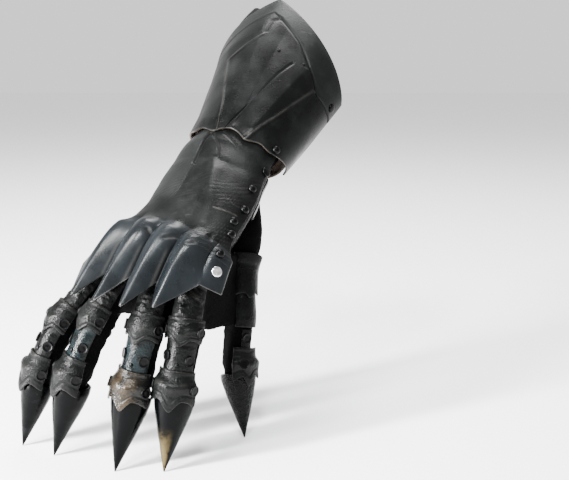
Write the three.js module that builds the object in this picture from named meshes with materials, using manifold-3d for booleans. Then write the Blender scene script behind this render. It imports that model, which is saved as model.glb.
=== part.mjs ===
// Studded leather gauntlet for the right hand, shown as it is worn.
// Millimetres, +Z up. The origin is the middle of the wrist, where the wearer's arm holds it.
// The shapes are worked out in the hand's own directions: x towards the thumb, y up the arm,
// z out of the back of the hand. One turn then stands the gauntlet on its five claw tips.
import * as THREE from "three";
import { mergeVertices } from "three/addons/utils/BufferGeometryUtils.js";
import Module from "manifold-3d";

// Main sizes of the hand inside
const HAND_LENGTH = 97;
const PALM_HALF_WIDTH = 40;
const WRIST_HALF_DEPTH = 18;
const FINGER_HALF = 9.2;

// Sizes of the cuff
const CUFF_LENGTH = 152;
const CUFF_WRIST_HALF = 33;
const CUFF_SIDE_SHARE = 0.68;
const CUFF_WRIST_EDGE = 7;
const CUFF_INNER_RISE = 17;

// Leather and fits
const GLOVE_WALL = 1.3;
const PLATE_THICK = 1.6;
const LAME_THICK = 1.4;
const CLAW_WALL = 1.6;
const GAP = 0.35;
const HAND_GAP = 0.68;

// How the hand is held: rise and swing of the forearm, roll about it, in degrees
const ARM_RISE = 30.87;
const ARM_SWING = 33.84;
const ARM_ROLL = 4.5;

// Rivets: radius and height
const DISC_RIVET = { radius: 3.5, height: 1.0, sides: 7, shoulder: 0.9 };
const SMALL_STUD = { radius: 1.4, height: 0.8, sides: 5, shoulder: 0.7 };
const DOME_STUD = { radius: 2.9, height: 2.4, sides: 8, shoulder: 0.72 };
const FLAT_STUD = { radius: 3.4, height: 1.2, sides: 8, shoulder: 0.85 };
const SINK = 0.7;

// Hand sections along the hand, positive towards the fingers, in shares of the hand length.
// half is a share of the palm's half width; back and palm are shares of the wrist's half depth.
// shift moves the section towards the thumb, in shares of the palm's half width.
const HAND_SECTIONS = [
  { along: -0.46, half: 0.78, back: 1.14, palm: 1.14, shift: -0.12 },
  { along: -0.22, half: 0.755, back: 1.05, palm: 1.05, shift: -0.065 },
  { along: 0.0, half: 0.84, back: 1.0, palm: 1.0, shift: -0.06 },
  { along: 0.31, half: 0.93, back: 0.92, palm: 1.1, shift: 0.07 },
  { along: 0.57, half: 0.92, back: 0.88, palm: 1.2, shift: 0.18 },
  { along: 0.78, half: 0.96, back: 0.82, palm: 1.05, shift: 0.17 },
  { along: 0.93, half: 0.98, back: 0.7, palm: 0.85, shift: 0.16 },
  { along: 1.0, half: 0.9, back: 0.42, palm: 0.6, shift: 0.14 },
];

// Fingers: where the knuckle is, in shares of palm half width, hand length and wrist half depth,
// the lengths of the two bones and of the tip with its claw, in shares of the hand length,
// how far each stretch leans to the thumb and bends to the palm, in degrees,
// the turn of the finger's back, its thickness as a share of the standard one, and the claw.
const FINGERS = {
  index: {
    knuckle: [0.845, 0.957, -0.14],
    lengths: [0.426, 0.36, 0.543],
    lean: [6.3, 1.6, 4.6],
    bend: [37.0, 43.7, 41.7],
    turn: 15,
    thick: 1.0,
    clawRadius: 12.8,
    clawLength: 49,
  },
  middle: {
    knuckle: [0.315, 0.996, 0.144],
    lengths: [0.475, 0.393, 0.54],
    lean: [5.0, -3.0, 2.9],
    bend: [31.8, 44.3, 37.2],
    turn: 8,
    thick: 1.0,
    clawRadius: 12.6,
    clawLength: 49,
  },
  ring: {
    knuckle: [-0.2, 1.0, 0.06],
    lengths: [0.519, 0.39, 0.564],
    lean: [-12.6, -10.0, -6.2],
    bend: [24.5, 37.1, 45.2],
    turn: -4,
    thick: 0.97,
    clawRadius: 11.9,
    clawLength: 50,
  },
  pinky: {
    knuckle: [-0.675, 0.959, -0.194],
    lengths: [0.632, 0.361, 0.542],
    lean: [-19.4, -11.7, -6.2],
    bend: [20.9, 36.1, 45.8],
    turn: -4,
    thick: 0.9,
    clawRadius: 10.7,
    clawLength: 46,
  },
};

// The thumb, set out as a finger is, from the joint at its root. backwards is the way from
// that joint into the palm, in the same shares; back is the direction of its back.
const THUMB = {
  knuckle: [0.763, 0.55, -2.33],
  lengths: [0.343, 0.337, 0.5],
  lean: [14.7, 9.0, 18.5],
  bend: [41.2, 44.2, 46.3],
  thick: 1.0,
  root: 0.5,
  backwards: [-0.325, 0.443, 1.667],
  back: [0.88, -0.12, 0.44],
  clawRadius: 12.0,
  clawLength: 44,
};

// Glove finger thickness along a finger: joint counts 1 at the middle joint, 2 at the last one.
const FINGER_SECTIONS = [
  { joint: -1.0, side: 1.0, deep: 1.05 },
  { joint: 0.0, side: 1.0, deep: 1.05 },
  { joint: 0.5, side: 0.97, deep: 1.0 },
  { joint: 1.0, side: 1.02, deep: 1.04 },
  { joint: 1.5, side: 0.96, deep: 0.97 },
  { joint: 2.0, side: 1.03, deep: 1.02 },
  { joint: 2.2, side: 0.98, deep: 0.95 },
  { joint: 2.4, side: 0.78, deep: 0.75 },
  { joint: 2.52, side: 0.4, deep: 0.38 },
];

// Claw: width along it, with a rounded shoulder
const CLAW_PROFILE = [
  { along: 0.0, radius: 1.0 },
  { along: 0.1, radius: 1.0 },
  { along: 0.3, radius: 0.83 },
  { along: 0.55, radius: 0.55 },
  { along: 0.8, radius: 0.26 },
  { along: 1.0, radius: 0.03 },
];

// Cuff sections up the arm, in shares of the cuff length; half, back and palm are in shares
// of the cuff's half width at the wrist, shift is towards the little finger.
const CUFF_SECTIONS = [
  { along: 0.0, half: 1.05, back: 0.7, palm: 0.68, shift: 0.08 },
  { along: 0.26, half: 1.2, back: 0.9, palm: 0.84, shift: 0.2 },
  { along: 0.53, half: 1.44, back: 1.14, palm: 1.0, shift: 0.41 },
  { along: 0.79, half: 1.7, back: 1.34, palm: 1.12, shift: 0.61 },
  { along: 1.08, half: 1.9, back: 1.5, palm: 1.22, shift: 0.88 },
];

// Flutes of the outer cuff plate: angle from the middle of the back at the wrist and at the
// mouth, positive towards the thumb, and how far the line stands out or sinks in.
const CUFF_FLUTES = [
  { wrist: -112, mouth: -104, out: 0.0 },
  { wrist: -80, mouth: -80, out: 0.0 },
  { wrist: -52, mouth: -62, out: 0.0 },
  { wrist: -18, mouth: -40, out: 2.2 },
  { wrist: -9, mouth: -6, out: 1.2 },
  { wrist: 0, mouth: 17, out: -1.3 },
  { wrist: 9, mouth: 36, out: 0.6 },
  { wrist: 18, mouth: 54, out: 2.6 },
  { wrist: 52, mouth: 68, out: -0.2 },
  { wrist: 82, mouth: 84, out: 0.0 },
  { wrist: 112, mouth: 104, out: 0.0 },
];

// Knuckle plate, a row for each line that runs towards the fingers: across is towards the
// thumb, in shares of the palm's half width; top, brow and tip are places along the hand, in
// shares of its length; high is the height there, in shares of the wrist's half depth.
const KNUCKLE_LINES = [
  { across: -0.88, top: 0.8, topHigh: 0.18, brow: 0.98, browHigh: 0.384,
    tip: 1.16, tipHigh: 0.007, tipAcross: -1.116 },
  { across: -0.727, top: 0.76, topHigh: 0.761, brow: 0.98, browHigh: 0.869,
    tip: 1.45, tipHigh: -0.047, tipAcross: -0.849 },
  { across: -0.436, top: 0.72, topHigh: 0.896, brow: 0.97, browHigh: 0.653,
    tip: 1.2, tipHigh: 0.114, tipAcross: -0.485 },
  { across: -0.17, top: 0.7, topHigh: 1.031, brow: 1, browHigh: 1.138,
    tip: 1.49, tipHigh: 0.17, tipAcross: -0.291 },
  { across: 0.085, top: 0.73, topHigh: 1.031, brow: 0.99, browHigh: 0.815,
    tip: 1.22, tipHigh: 0.33, tipAcross: 0.073 },
  { across: 0.34, top: 0.72, topHigh: 1.058, brow: 1.01, browHigh: 1.192,
    tip: 1.48, tipHigh: 0.33, tipAcross: 0.315 },
  { across: 0.594, top: 0.75, topHigh: 0.977, brow: 0.98, browHigh: 0.815,
    tip: 1.2, tipHigh: 0.33, tipAcross: 0.582 },
  { across: 0.837, top: 0.76, topHigh: 0.923, brow: 1, browHigh: 1.031,
    tip: 1.39, tipHigh: 0.08, tipAcross: 0.752 },
  { across: 1.116, top: 0.78, topHigh: 0.492, brow: 0.94, browHigh: 0.438,
    tip: 1.12, tipHigh: 0.061, tipAcross: 1.188 },
  { across: 1.382, top: 0.8, topHigh: 0.061, brow: 0.92, browHigh: -0.209,
    tip: 1.08, tipHigh: -0.478, tipAcross: 1.455 },
];

// Materials: colour, roughness, metalness
const LEATHER_GLOVE = [0x15161a, 0.75, 0.0];
const LEATHER_PLATE = [0x2b2f30, 0.42, 0.0];
const LEATHER_LAME = [0x303434, 0.45, 0.0];
const CLAW_FACE = [0x26282b, 0.3, 0.35];
const BLACK_METAL = [0x141416, 0.35, 0.8];
const CHROME = [0xd8d8d4, 0.15, 1.0];

const wasm = await Module();
wasm.setup();
const RADIANS = Math.PI / 180;
const group = new THREE.Group();

// The turn from the hand's directions to the standing part
function handTurn() {
  const turn = new THREE.Matrix4().makeRotationZ(-ARM_SWING * RADIANS);
  turn.multiply(new THREE.Matrix4().makeRotationX(ARM_RISE * RADIANS));
  turn.multiply(new THREE.Matrix4().makeRotationY(ARM_ROLL * RADIANS));
  return turn;
}
const STAND = handTurn();

// Value of a named column at a place along a table, eased between its rows
function column(table, place, key, name) {
  const last = table.length - 1;
  if (place <= table[0][key]) return table[0][name];
  if (place >= table[last][key]) return table[last][name];
  let i = 0;
  while (place > table[i + 1][key]) i += 1;
  const slope = (k) => {
    const a = table[Math.max(0, k - 1)];
    const b = table[Math.min(last, k + 1)];
    return (b[name] - a[name]) / (b[key] - a[key]);
  };
  const span = table[i + 1][key] - table[i][key];
  const t = (place - table[i][key]) / span;
  const h = [2 * t ** 3 - 3 * t ** 2 + 1, t ** 3 - 2 * t ** 2 + t, 3 * t ** 2 - 2 * t ** 3, t ** 3 - t ** 2];
  return h[0] * table[i][name] + h[1] * span * slope(i) + h[2] * table[i + 1][name] + h[3] * span * slope(i + 1);
}

function smooth(from, to, value) {
  const t = Math.min(1, Math.max(0, (value - from) / (to - from)));
  return t * t * (3 - 2 * t);
}

// Closed geometry from points and faces, turned so that its faces look out
function closedGeometry(points, faces) {
  let volume = 0;
  for (let i = 0; i < faces.length; i += 3) {
    const [a, b, c] = [points[faces[i]], points[faces[i + 1]], points[faces[i + 2]]];
    volume += a.dot(new THREE.Vector3().crossVectors(b, c));
  }
  if (volume < 0) {
    for (let i = 0; i < faces.length; i += 3) [faces[i + 1], faces[i + 2]] = [faces[i + 2], faces[i + 1]];
  }
  const geometry = new THREE.BufferGeometry();
  geometry.setAttribute("position", new THREE.Float32BufferAttribute(points.flatMap((p) => p.toArray()), 3));
  geometry.setIndex(faces);
  return geometry;
}

function quad(faces, a, b, c, d) {
  faces.push(a, b, c, a, c, d);
}

// A curved plate: surface(u, v, lift) over u and v from 0 to 1, between two lifts
function plate(surface, rows, columns, inner, outer) {
  const points = [];
  const faces = [];
  const wide = columns + 1;
  const sheet = (rows + 1) * wide;
  for (const lift of [outer, inner]) {
    for (let i = 0; i <= rows; i += 1) {
      for (let j = 0; j <= columns; j += 1) points.push(surface(i / rows, j / columns, lift));
    }
  }
  for (let i = 0; i < rows; i += 1) {
    for (let j = 0; j < columns; j += 1) {
      const k = i * wide + j;
      quad(faces, k, k + 1, k + wide + 1, k + wide);
      quad(faces, sheet + k, sheet + k + wide, sheet + k + wide + 1, sheet + k + 1);
    }
  }
  for (let j = 0; j < columns; j += 1) {
    const k = rows * wide + j;
    quad(faces, j + 1, j, sheet + j, sheet + j + 1);
    quad(faces, k, k + 1, sheet + k + 1, sheet + k);
  }
  for (let i = 0; i < rows; i += 1) {
    const k = i * wide;
    const m = k + columns;
    quad(faces, k, k + wide, sheet + k + wide, sheet + k);
    quad(faces, m + wide, m, sheet + m, sheet + m + wide);
  }
  return closedGeometry(points, faces);
}

// A full ring of sections, closed at both ends
function loft(surface, rows, columns, lift, near = 0, far = 1) {
  const points = [];
  const faces = [];
  for (let i = 0; i <= rows; i += 1) {
    const u = near + ((far - near) * i) / rows;
    for (let j = 0; j < columns; j += 1) points.push(surface(u, j / columns, lift));
  }
  for (let i = 0; i < rows; i += 1) {
    for (let j = 0; j < columns; j += 1) {
      const n = (j + 1) % columns;
      quad(faces, i * columns + j, i * columns + n, (i + 1) * columns + n, (i + 1) * columns + j);
    }
  }
  for (const end of [0, rows]) {
    const middle = new THREE.Vector3();
    for (let j = 0; j < columns; j += 1) middle.add(points[end * columns + j]);
    points.push(middle.divideScalar(columns));
    const hub = points.length - 1;
    for (let j = 0; j < columns; j += 1) {
      const n = (j + 1) % columns;
      if (end) faces.push(end * columns + j, end * columns + n, hub);
      else faces.push(n, j, hub);
    }
  }
  return closedGeometry(points, faces);
}

// Solids for joining and cutting
function solid(geometry) {
  const bare = geometry.clone();
  bare.deleteAttribute("normal");
  bare.deleteAttribute("uv");
  const merged = mergeVertices(bare, 1e-4);
  return new wasm.Manifold(
    new wasm.Mesh({
      numProp: 3,
      vertProperties: merged.attributes.position.array,
      triVerts: new Uint32Array(merged.index.array),
    }),
  );
}

function geometryOf(manifold) {
  const mesh = manifold.getMesh();
  const geometry = new THREE.BufferGeometry();
  geometry.setAttribute("position", new THREE.BufferAttribute(new Float32Array(mesh.vertProperties), 3));
  geometry.setIndex(new THREE.BufferAttribute(new Uint32Array(mesh.triVerts), 1));
  return geometry;
}

function add(name, geometry, [colour, roughness, metalness]) {
  const placed = geometry.index ? geometry.toNonIndexed() : geometry.clone();
  placed.applyMatrix4(STAND);
  placed.computeVertexNormals();
  const material = new THREE.MeshStandardMaterial({ color: colour, roughness, metalness });
  const mesh = new THREE.Mesh(placed, material);
  mesh.name = name;
  group.add(mesh);
}

// Hand surface: u runs from the forearm to the fingers, angle from the middle of the back
const HAND_START = HAND_SECTIONS[0].along;
const HAND_END = HAND_SECTIONS[HAND_SECTIONS.length - 1].along;

function handPoint(along, angle, lift) {
  const half = column(HAND_SECTIONS, along, "along", "half") * PALM_HALF_WIDTH + lift;
  const cosine = Math.cos(angle);
  const deep = column(HAND_SECTIONS, along, "along", cosine > 0 ? "back" : "palm");
  const shift = column(HAND_SECTIONS, along, "along", "shift") * PALM_HALF_WIDTH;
  const height = deep * WRIST_HALF_DEPTH + lift;
  return new THREE.Vector3(shift + half * Math.sin(angle), -along * HAND_LENGTH, height * cosine);
}

// Finger frame: a smooth line through the joints, with its back and side directions
function sharePoint([x, y, z]) {
  return new THREE.Vector3(x * PALM_HALF_WIDTH, y * HAND_LENGTH, z * WRIST_HALF_DEPTH);
}

function fingerLine(finger) {
  const [x, y, z] = finger.knuckle;
  const start = sharePoint([x, -y, z]);
  const joints = [start];
  for (let k = 0; k < 3; k += 1) {
    const lean = finger.lean[k] * RADIANS;
    const bend = finger.bend[k] * RADIANS;
    const step = new THREE.Vector3(
      Math.sin(lean),
      -Math.cos(lean) * Math.cos(bend),
      -Math.cos(lean) * Math.sin(bend),
    );
    joints.push(joints[k].clone().addScaledVector(step, finger.lengths[k] * HAND_LENGTH));
  }
  const first = joints[1].clone().sub(joints[0]).multiplyScalar(-0.8);
  joints.unshift(start.clone().add(finger.backwards ? sharePoint(finger.backwards) : first));
  return new THREE.CatmullRomCurve3(joints, false, "centripetal");
}

function fingerFrame(finger, joint) {
  const t = Math.min(1, Math.max(0, (joint + 1) / 4));
  const middle = finger.line.getPoint(t);
  const along = finger.line.getTangent(t);
  const back = finger.back.clone().addScaledVector(along, -finger.back.dot(along)).normalize();
  const side = new THREE.Vector3().crossVectors(back, along);
  return { middle, along, back, side };
}

// The ball of the thumb, where its root leaves the palm
function rootSwell(finger, joint) {
  return 1 + (finger.root || 0) * smooth(0.1, -0.45, joint) * (1 - 0.7 * smooth(-0.5, -0.95, joint));
}

// A point at a joint count and an angle round the finger, lifted off the glove
function fingerPoint(finger, joint, angle, lift) {
  const { middle, back, side } = fingerFrame(finger, joint);
  const size = FINGER_HALF * finger.thick * rootSwell(finger, joint);
  const half = column(FINGER_SECTIONS, joint, "joint", "side") * size + lift;
  const deep = column(FINGER_SECTIONS, joint, "joint", "deep") * size + lift;
  return middle.addScaledVector(side, half * Math.sin(angle)).addScaledVector(back, deep * Math.cos(angle));
}

// Each finger's line and the direction of its back
for (const finger of Object.values(FINGERS)) {
  finger.line = fingerLine(finger);
  finger.back = new THREE.Vector3(Math.sin(finger.turn * RADIANS), 0, Math.cos(finger.turn * RADIANS));
}
THUMB.line = fingerLine(THUMB);
THUMB.back = new THREE.Vector3(...THUMB.back).normalize();

// Glove hand: a sleeve that reaches under the cuff, closed at the knuckles but for the fingers
const FINGER_START = -0.28;
const FINGER_STOP = 2.52;
const THUMB_START = -0.93;
const WEB_THUMB_ANGLE = -66;
const WEB_INDEX_ANGLE = 125;
const WEB_SAG = 3;

function handSkin(lift, near, far, rows = 9, columns = 20) {
  const surface = (u, v, raise) => handPoint(u, v * 2 * Math.PI, raise);
  return solid(loft(surface, rows, columns, lift, near, far));
}

function fingerSkin(finger, lift, from, to) {
  const surface = (u, v, raise) => fingerPoint(finger, u, v * 2 * Math.PI, raise);
  return solid(loft(surface, 6, 8, lift, from, to));
}

function buildGlove() {
  const outer = handSkin(0, HAND_START, HAND_END);
  const cleared = handSkin(GAP, HAND_START, HAND_END + GAP / HAND_LENGTH);
  let hand = outer.subtract(handSkin(-GLOVE_WALL, HAND_START - 0.02, HAND_END - GLOVE_WALL / HAND_LENGTH, 6, 14));
  const digits = { ...FINGERS, thumb: THUMB };
  for (const [name, finger] of Object.entries(digits)) {
    const start = name === "thumb" ? THUMB_START : FINGER_START;
    const hole = fingerSkin(finger, -GLOVE_WALL, start - 0.03, FINGER_STOP - 0.05);
    const skin = fingerSkin(finger, 0, start, FINGER_STOP);
    hand = hand.subtract(hole);
    add("glove_" + name, geometryOf(skin.subtract(hole).subtract(cleared)), LEATHER_GLOVE);
  }
  buildGlovePanels(hand);
  buildThumbWeb(cleared);
}

// The web of the glove between the palm and the thumb, two layers sewn together
const WEB_THICK = 2.6;

function buildThumbWeb(cleared) {
  const anchors = [
    handPoint(0.7, 124 * RADIANS, -1),
    handPoint(0.95, 118 * RADIANS, -1),
    fingerPoint(FINGERS.index, 0.2, WEB_INDEX_ANGLE * RADIANS, -1),
    fingerPoint(FINGERS.index, 0.95, WEB_INDEX_ANGLE * RADIANS, -1),
  ];
  const surface = (u, v, lift) => {
    const i = Math.min(2, Math.floor(v * 3));
    const palm = anchors[i].clone().lerp(anchors[i + 1], v * 3 - i);
    const thumb = fingerPoint(THUMB, -0.2 + 1.35 * v, WEB_THUMB_ANGLE * RADIANS, -1);
    const sag = WEB_SAG * Math.sin(u * Math.PI) * (1 - v);
    return palm.lerp(thumb, u).add(new THREE.Vector3(lift + sag, 0, 0));
  };
  const clear = fingerSkin(THUMB, GAP, THUMB_START, FINGER_STOP);
  const beside = fingerSkin(FINGERS.index, GAP, FINGER_START, FINGER_STOP);
  let web = solid(plate(surface, 4, 6, 0, WEB_THICK)).subtract(cleared).subtract(clear).subtract(beside);
  for (const item of THUMB_PLATES.slice(0, 2)) {
    const wider = { ...item, from: item.from - 0.03, to: item.to + 0.03, spread: item.spread + 3 };
    const room = plate(fingerPlateSurface(THUMB, wider), 4, 8, -3 * GAP, LAME_THICK + 3 * GAP);
    web = web.subtract(solid(room));
  }
  add("glove_thumb_web", geometryOf(largest(web)), LEATHER_GLOVE);
}

// The hand of the glove is sewn from panels: two for the wrist sleeve, the back and the palm
const WRIST_SEAM = 4;

function largest(made) {
  return made.decompose().sort((a, b) => b.volume() - a.volume())[0];
}

function buildGlovePanels(hand) {
  const half = GAP / 2;
  const front = hand.trimByPlane([0, -1, 0], half - WRIST_SEAM);
  const sleeve = hand.trimByPlane([0, 1, 0], WRIST_SEAM + half);
  add("glove_wrist_back", geometryOf(sleeve.trimByPlane([0, 0, 1], half)), LEATHER_GLOVE);
  add("glove_wrist_palm", geometryOf(sleeve.trimByPlane([0, 0, -1], half)), LEATHER_GLOVE);
  add("glove_back", geometryOf(largest(front.trimByPlane([0, 0, 1], half))), LEATHER_GLOVE);
  add("glove_palm", geometryOf(largest(front.trimByPlane([0, 0, -1], half))), LEATHER_GLOVE);
}

// A round rivet head, set with its axis along out and sunk into what carries it
function rivet(kind, at, out, sink = SINK) {
  const { radius, height, sides, shoulder } = kind;
  const profile = [
    new THREE.Vector2(0, -sink),
    new THREE.Vector2(radius, -sink),
    new THREE.Vector2(radius * shoulder, height * 0.72),
    new THREE.Vector2(0, height),
  ];
  const geometry = new THREE.LatheGeometry(profile, sides);
  const turn = new THREE.Quaternion().setFromUnitVectors(new THREE.Vector3(0, 1, 0), out);
  geometry.applyQuaternion(turn);
  geometry.translate(at.x, at.y, at.z);
  return geometry;
}

// Outward direction of a surface at a place
function outward(surface, u, v) {
  const e = 1e-3;
  const across = surface(u, v + e, 0).sub(surface(u, v - e, 0));
  const down = surface(u + e, v, 0).sub(surface(u - e, v, 0));
  const out = across.cross(down).normalize();
  const up = surface(u, v, 1).sub(surface(u, v, 0));
  return out.dot(up) < 0 ? out.negate() : out;
}

// Plates of one finger. from and to are joint counts, spread is half the angle it covers,
// tongue is how far the middle of its lower edge runs on, and the rivets are at joint and angle.
const FINGER_PLATES = [
  { part: "proximal_plate", from: 0.26, to: 0.92, spread: 66, tongue: 0.06, lift: 0, rivets: [] },
  {
    part: "knuckle_cap",
    from: 0.78,
    to: 1.1,
    spread: 73,
    tongue: 0.13,
    lift: 1,
    rivets: [
      { joint: 0.97, angle: -56, kind: DISC_RIVET },
      { joint: 0.97, angle: 56, kind: DISC_RIVET },
    ],
  },
  {
    part: "middle_plate",
    from: 1.04,
    to: 1.78,
    spread: 66,
    tongue: 0.05,
    lift: 0,
    rivets: [
      { joint: 1.42, angle: -44, kind: DISC_RIVET },
      { joint: 1.46, angle: 44, kind: DISC_RIVET },
      { joint: 1.56, angle: 4, kind: SMALL_STUD },
    ],
  },
  {
    part: "tip_cap",
    from: 1.66,
    to: 2.14,
    spread: 72,
    tongue: 0.14,
    lift: 2,
    rivets: [
      { joint: 1.95, angle: -60, kind: DISC_RIVET },
      { joint: 1.97, angle: 58, kind: DISC_RIVET },
    ],
  },
];

// Lift of a plate off the glove: one layer, two layers, or over the claw
function layerLift(finger, layer, joint, angle) {
  const first = GAP + 0.1;
  const second = GAP + LAME_THICK + GAP;
  if (layer === 0) return first;
  const dome = Math.max(0, Math.cos(angle));
  if (layer === 1) return second + 1.3 * dome * Math.exp(-(((joint - 0.98) / 0.13) ** 2));
  const size = FINGER_HALF * finger.thick;
  const reach = finger.lengths[2] * HAND_LENGTH;
  const share = ((joint - 2) * reach - (reach - finger.clawLength)) / finger.clawLength;
  const taper = column(CLAW_PROFILE, share, "along", "radius");
  const inside = size * column(FINGER_SECTIONS, joint, "joint", "side");
  const claw = finger.clawRadius * taper + (finger.root ? 3 : 2.7) * GAP - inside;
  const ridge = 1.1 * dome * Math.exp(-(((joint - 1.96) / 0.1) ** 2));
  return second + (claw - second) * smooth(1.76, 1.96, joint) + ridge;
}

function fingerPlateSurface(finger, item) {
  const spread = item.spread * RADIANS;
  return (u, v, lift) => {
    const angle = (2 * v - 1) * spread;
    const share = Math.abs(2 * v - 1);
    const tongue = item.tongue * (1 - smooth(0.0, 0.42, share)) + item.tongue * 0.35 * smooth(0.5, 1, share);
    const joint = item.from + u * (item.to + tongue - item.from);
    return fingerPoint(finger, joint, angle, layerLift(finger, item.lift, joint, angle) + lift);
  };
}

function buildFingerPlate(name, finger, item) {
  const surface = fingerPlateSurface(finger, item);
  const rows = item.lift ? 4 : 3;
  let made = solid(plate(surface, rows, 8, 0, LAME_THICK));
  for (const one of item.rivets) {
    const place = (angle, joint, lift) =>
      fingerPoint(finger, joint, angle, layerLift(finger, item.lift, joint, angle) + LAME_THICK + lift);
    const angle = one.angle * RADIANS;
    const out = outward((u, v, lift) => place(v, u, lift), one.joint, angle);
    made = made.add(solid(rivet(one.kind, place(angle, one.joint, 0), out)));
  }
  add(name + "_" + item.part, geometryOf(made), LEATHER_LAME);
}

// Claw: a hollow cone on the last joint
function clawAxis(finger) {
  const tip = finger.line.getPoint(1);
  const from = finger.line.getPoint((2 + 1) / 4);
  const along = tip.clone().sub(from).normalize();
  const base = tip.clone().addScaledVector(along, -finger.clawLength);
  const back = finger.back.clone().addScaledVector(along, -finger.back.dot(along)).normalize();
  const side = new THREE.Vector3().crossVectors(back, along);
  return { tip, base, along, back, side };
}

function buildClaw(name, finger) {
  const { base, along, back, side } = clawAxis(finger);
  const length = finger.clawLength;
  const surface = (shrink, reach) => (u, v) => {
    const angle = v * 2 * Math.PI;
    const share = column(CLAW_PROFILE, u * reach, "along", "radius");
    const radius = Math.max(0.15, share * finger.clawRadius - shrink);
    return base
      .clone()
      .addScaledVector(along, u * reach * length - (shrink ? (1 - u) * 2 : 0))
      .addScaledVector(side, radius * Math.sin(angle))
      .addScaledVector(back, radius * Math.cos(angle));
  };
  const outer = solid(loft(surface(0, 1), 5, 10, 0));
  const inner = solid(loft(surface(CLAW_WALL, 0.6), 2, 7, 0));
  add(name + "_claw", geometryOf(outer.subtract(inner)), CLAW_FACE);
}

// Thumb plates: two long plates, a riveted strap, a cap over the joint and the claw
const THUMB_PLATES = [
  { part: "root_plate", from: -0.2, to: 0.5, spread: 52, tongue: 0.1, lift: 1, rivets: [] },
  { part: "long_plate", from: 0.36, to: 1.18, spread: 50, tongue: 0.0, lift: 0, rivets: [] },
  {
    part: "strap",
    from: 1.22,
    to: 1.72,
    spread: 22,
    tongue: 0.0,
    lift: 0,
    rivets: [{ joint: 1.4, angle: -4, kind: DISC_RIVET }],
  },
  {
    part: "tip_cap",
    from: 1.6,
    to: 2.16,
    spread: 48,
    tongue: 0.14,
    lift: 2,
    rivets: [{ joint: 1.94, angle: -16, kind: DISC_RIVET }],
  },
];

// Cuff: a flared cone round the forearm
function cuffPoint(along, angle, lift) {
  const wrist = CUFF_WRIST_HALF;
  const half = column(CUFF_SECTIONS, along, "along", "half") * wrist + lift;
  const cosine = Math.cos(angle);
  const deep = column(CUFF_SECTIONS, along, "along", cosine > 0 ? "back" : "palm") * wrist + lift;
  const shift = column(CUFF_SECTIONS, along, "along", "shift") * wrist;
  return new THREE.Vector3(half * Math.sin(angle) - shift, along * CUFF_LENGTH, deep * cosine);
}

// Upper edge of a cuff plate: a pointed arch, highest at the middle of the back
function mouthEdge(angle, side) {
  const share = Math.min(1, Math.abs(angle) / (106 * RADIANS));
  return 1 - (1 - side) * (1 - (1 - share) ** 1.8);
}

// Lower edge of the outer cuff plate: three small arches at the back with cusps between them,
// then a long sweep to the side
const CUFF_CUSP = 18;

function wristEdge(angle) {
  const a = Math.abs(angle) / RADIANS;
  const arch = a < CUFF_CUSP ? 0.03 * Math.cos((a / CUFF_CUSP) * 90 * RADIANS) : 0;
  const sweep = 0.1 * smooth(26, 110, a) + 0.02 * Math.sin(Math.PI * smooth(CUFF_CUSP, 54, a));
  return CUFF_WRIST_EDGE / CUFF_LENGTH + arch + sweep;
}

const CUFF_ROLL = 12 * RADIANS;
const MOUTH_ROLL = -1 * RADIANS;

// Outer cuff plate: u up the arm, v round it from the little finger's side to the thumb's
function outerPlate(u, v, lift) {
  const count = CUFF_FLUTES.length - 1;
  const place = v * count;
  const i = Math.max(0, Math.min(count - 1, Math.floor(place)));
  const t = place - i;
  const mix = (name) => CUFF_FLUTES[i][name] * (1 - t) + CUFF_FLUTES[i + 1][name] * t;
  const low = mix("wrist") * RADIANS;
  const high = mix("mouth") * RADIANS;
  const from = wristEdge(low);
  const to = mouthEdge(high, CUFF_SIDE_SHARE);
  const along = from + u * (to - from);
  const angle = low + (high - low) * u + CUFF_ROLL * (1 - u) + MOUTH_ROLL * u;
  const fade = smooth(0, 0.1, u) * (1 - smooth(0.72, 0.9, u));
  return cuffPoint(along, angle, GAP + PLATE_THICK + lift + mix("out") * fade);
}

function buildCuff() {
  const count = CUFF_FLUTES.length - 1;
  add("cuff_outer", geometryOf(solid(plate(outerPlate, 7, 2 * count, 1.4, 1.4 + PLATE_THICK))), LEATHER_PLATE);
  const innerPlate = (u, v, lift) => {
    const angle = (2 * v - 1) * 172 * RADIANS;
    const from = (CUFF_WRIST_EDGE + CUFF_INNER_RISE) / CUFF_LENGTH;
    const lean = angle + 26 * RADIANS;
    const to = Math.max(0.6, mouthEdge(lean, 0.7));
    return cuffPoint(from + u * (to - from), angle, lift);
  };
  add("cuff_inner", geometryOf(solid(plate(innerPlate, 4, 16, 0, PLATE_THICK))), LEATHER_PLATE);
}

// Back of the hand: one moulded plate from under the cuff, with a slit at its upper end.
// It rises into the feathers over the knuckles.
const SECOND = 2 * HAND_GAP + LAME_THICK;
const PLATE_START = -0.19;

// The hand's plates flare out under the cuff to meet it
const FLARE_SIDE = 0.9;
const FLARE_BACK = 3.4;

function wristFlare(along, angle) {
  const most = FLARE_SIDE + FLARE_BACK * Math.max(0, Math.cos(angle)) ** 2;
  return most * smooth(0.16, -0.02, along);
}

function handPlateSurface(u, v, lift) {
  const angle = (-62 + v * 142) * RADIANS;
  const along = PLATE_START + u * (0.93 - PLATE_START);
  const spine = 1.3 * Math.exp(-(((angle / RADIANS - 14) / 10) ** 2)) * smooth(0.1, 0.25, along);
  const end = GAP * smooth(0.78, 0.93, along);
  return handPoint(along, angle, SECOND + lift + spine + end + wristFlare(along, angle));
}

// A lame on the hand: its angles, its reach along the hand, and how far its end is rounded
const HAND_LAMES = [
  { part: "ulnar_side_lame", low: -104, high: -48, from: -0.19, to: 0.8, round: 0.06, rows: 7 },
  { part: "thumb_side_lame", low: 70, high: 93, from: 0.0, to: 0.78, round: 0.07, rows: 7 },
  { part: "palm_side_lame", low: 96, high: 112, from: 0.0, to: 0.4, round: 0.05, rows: 4 },
];

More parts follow.
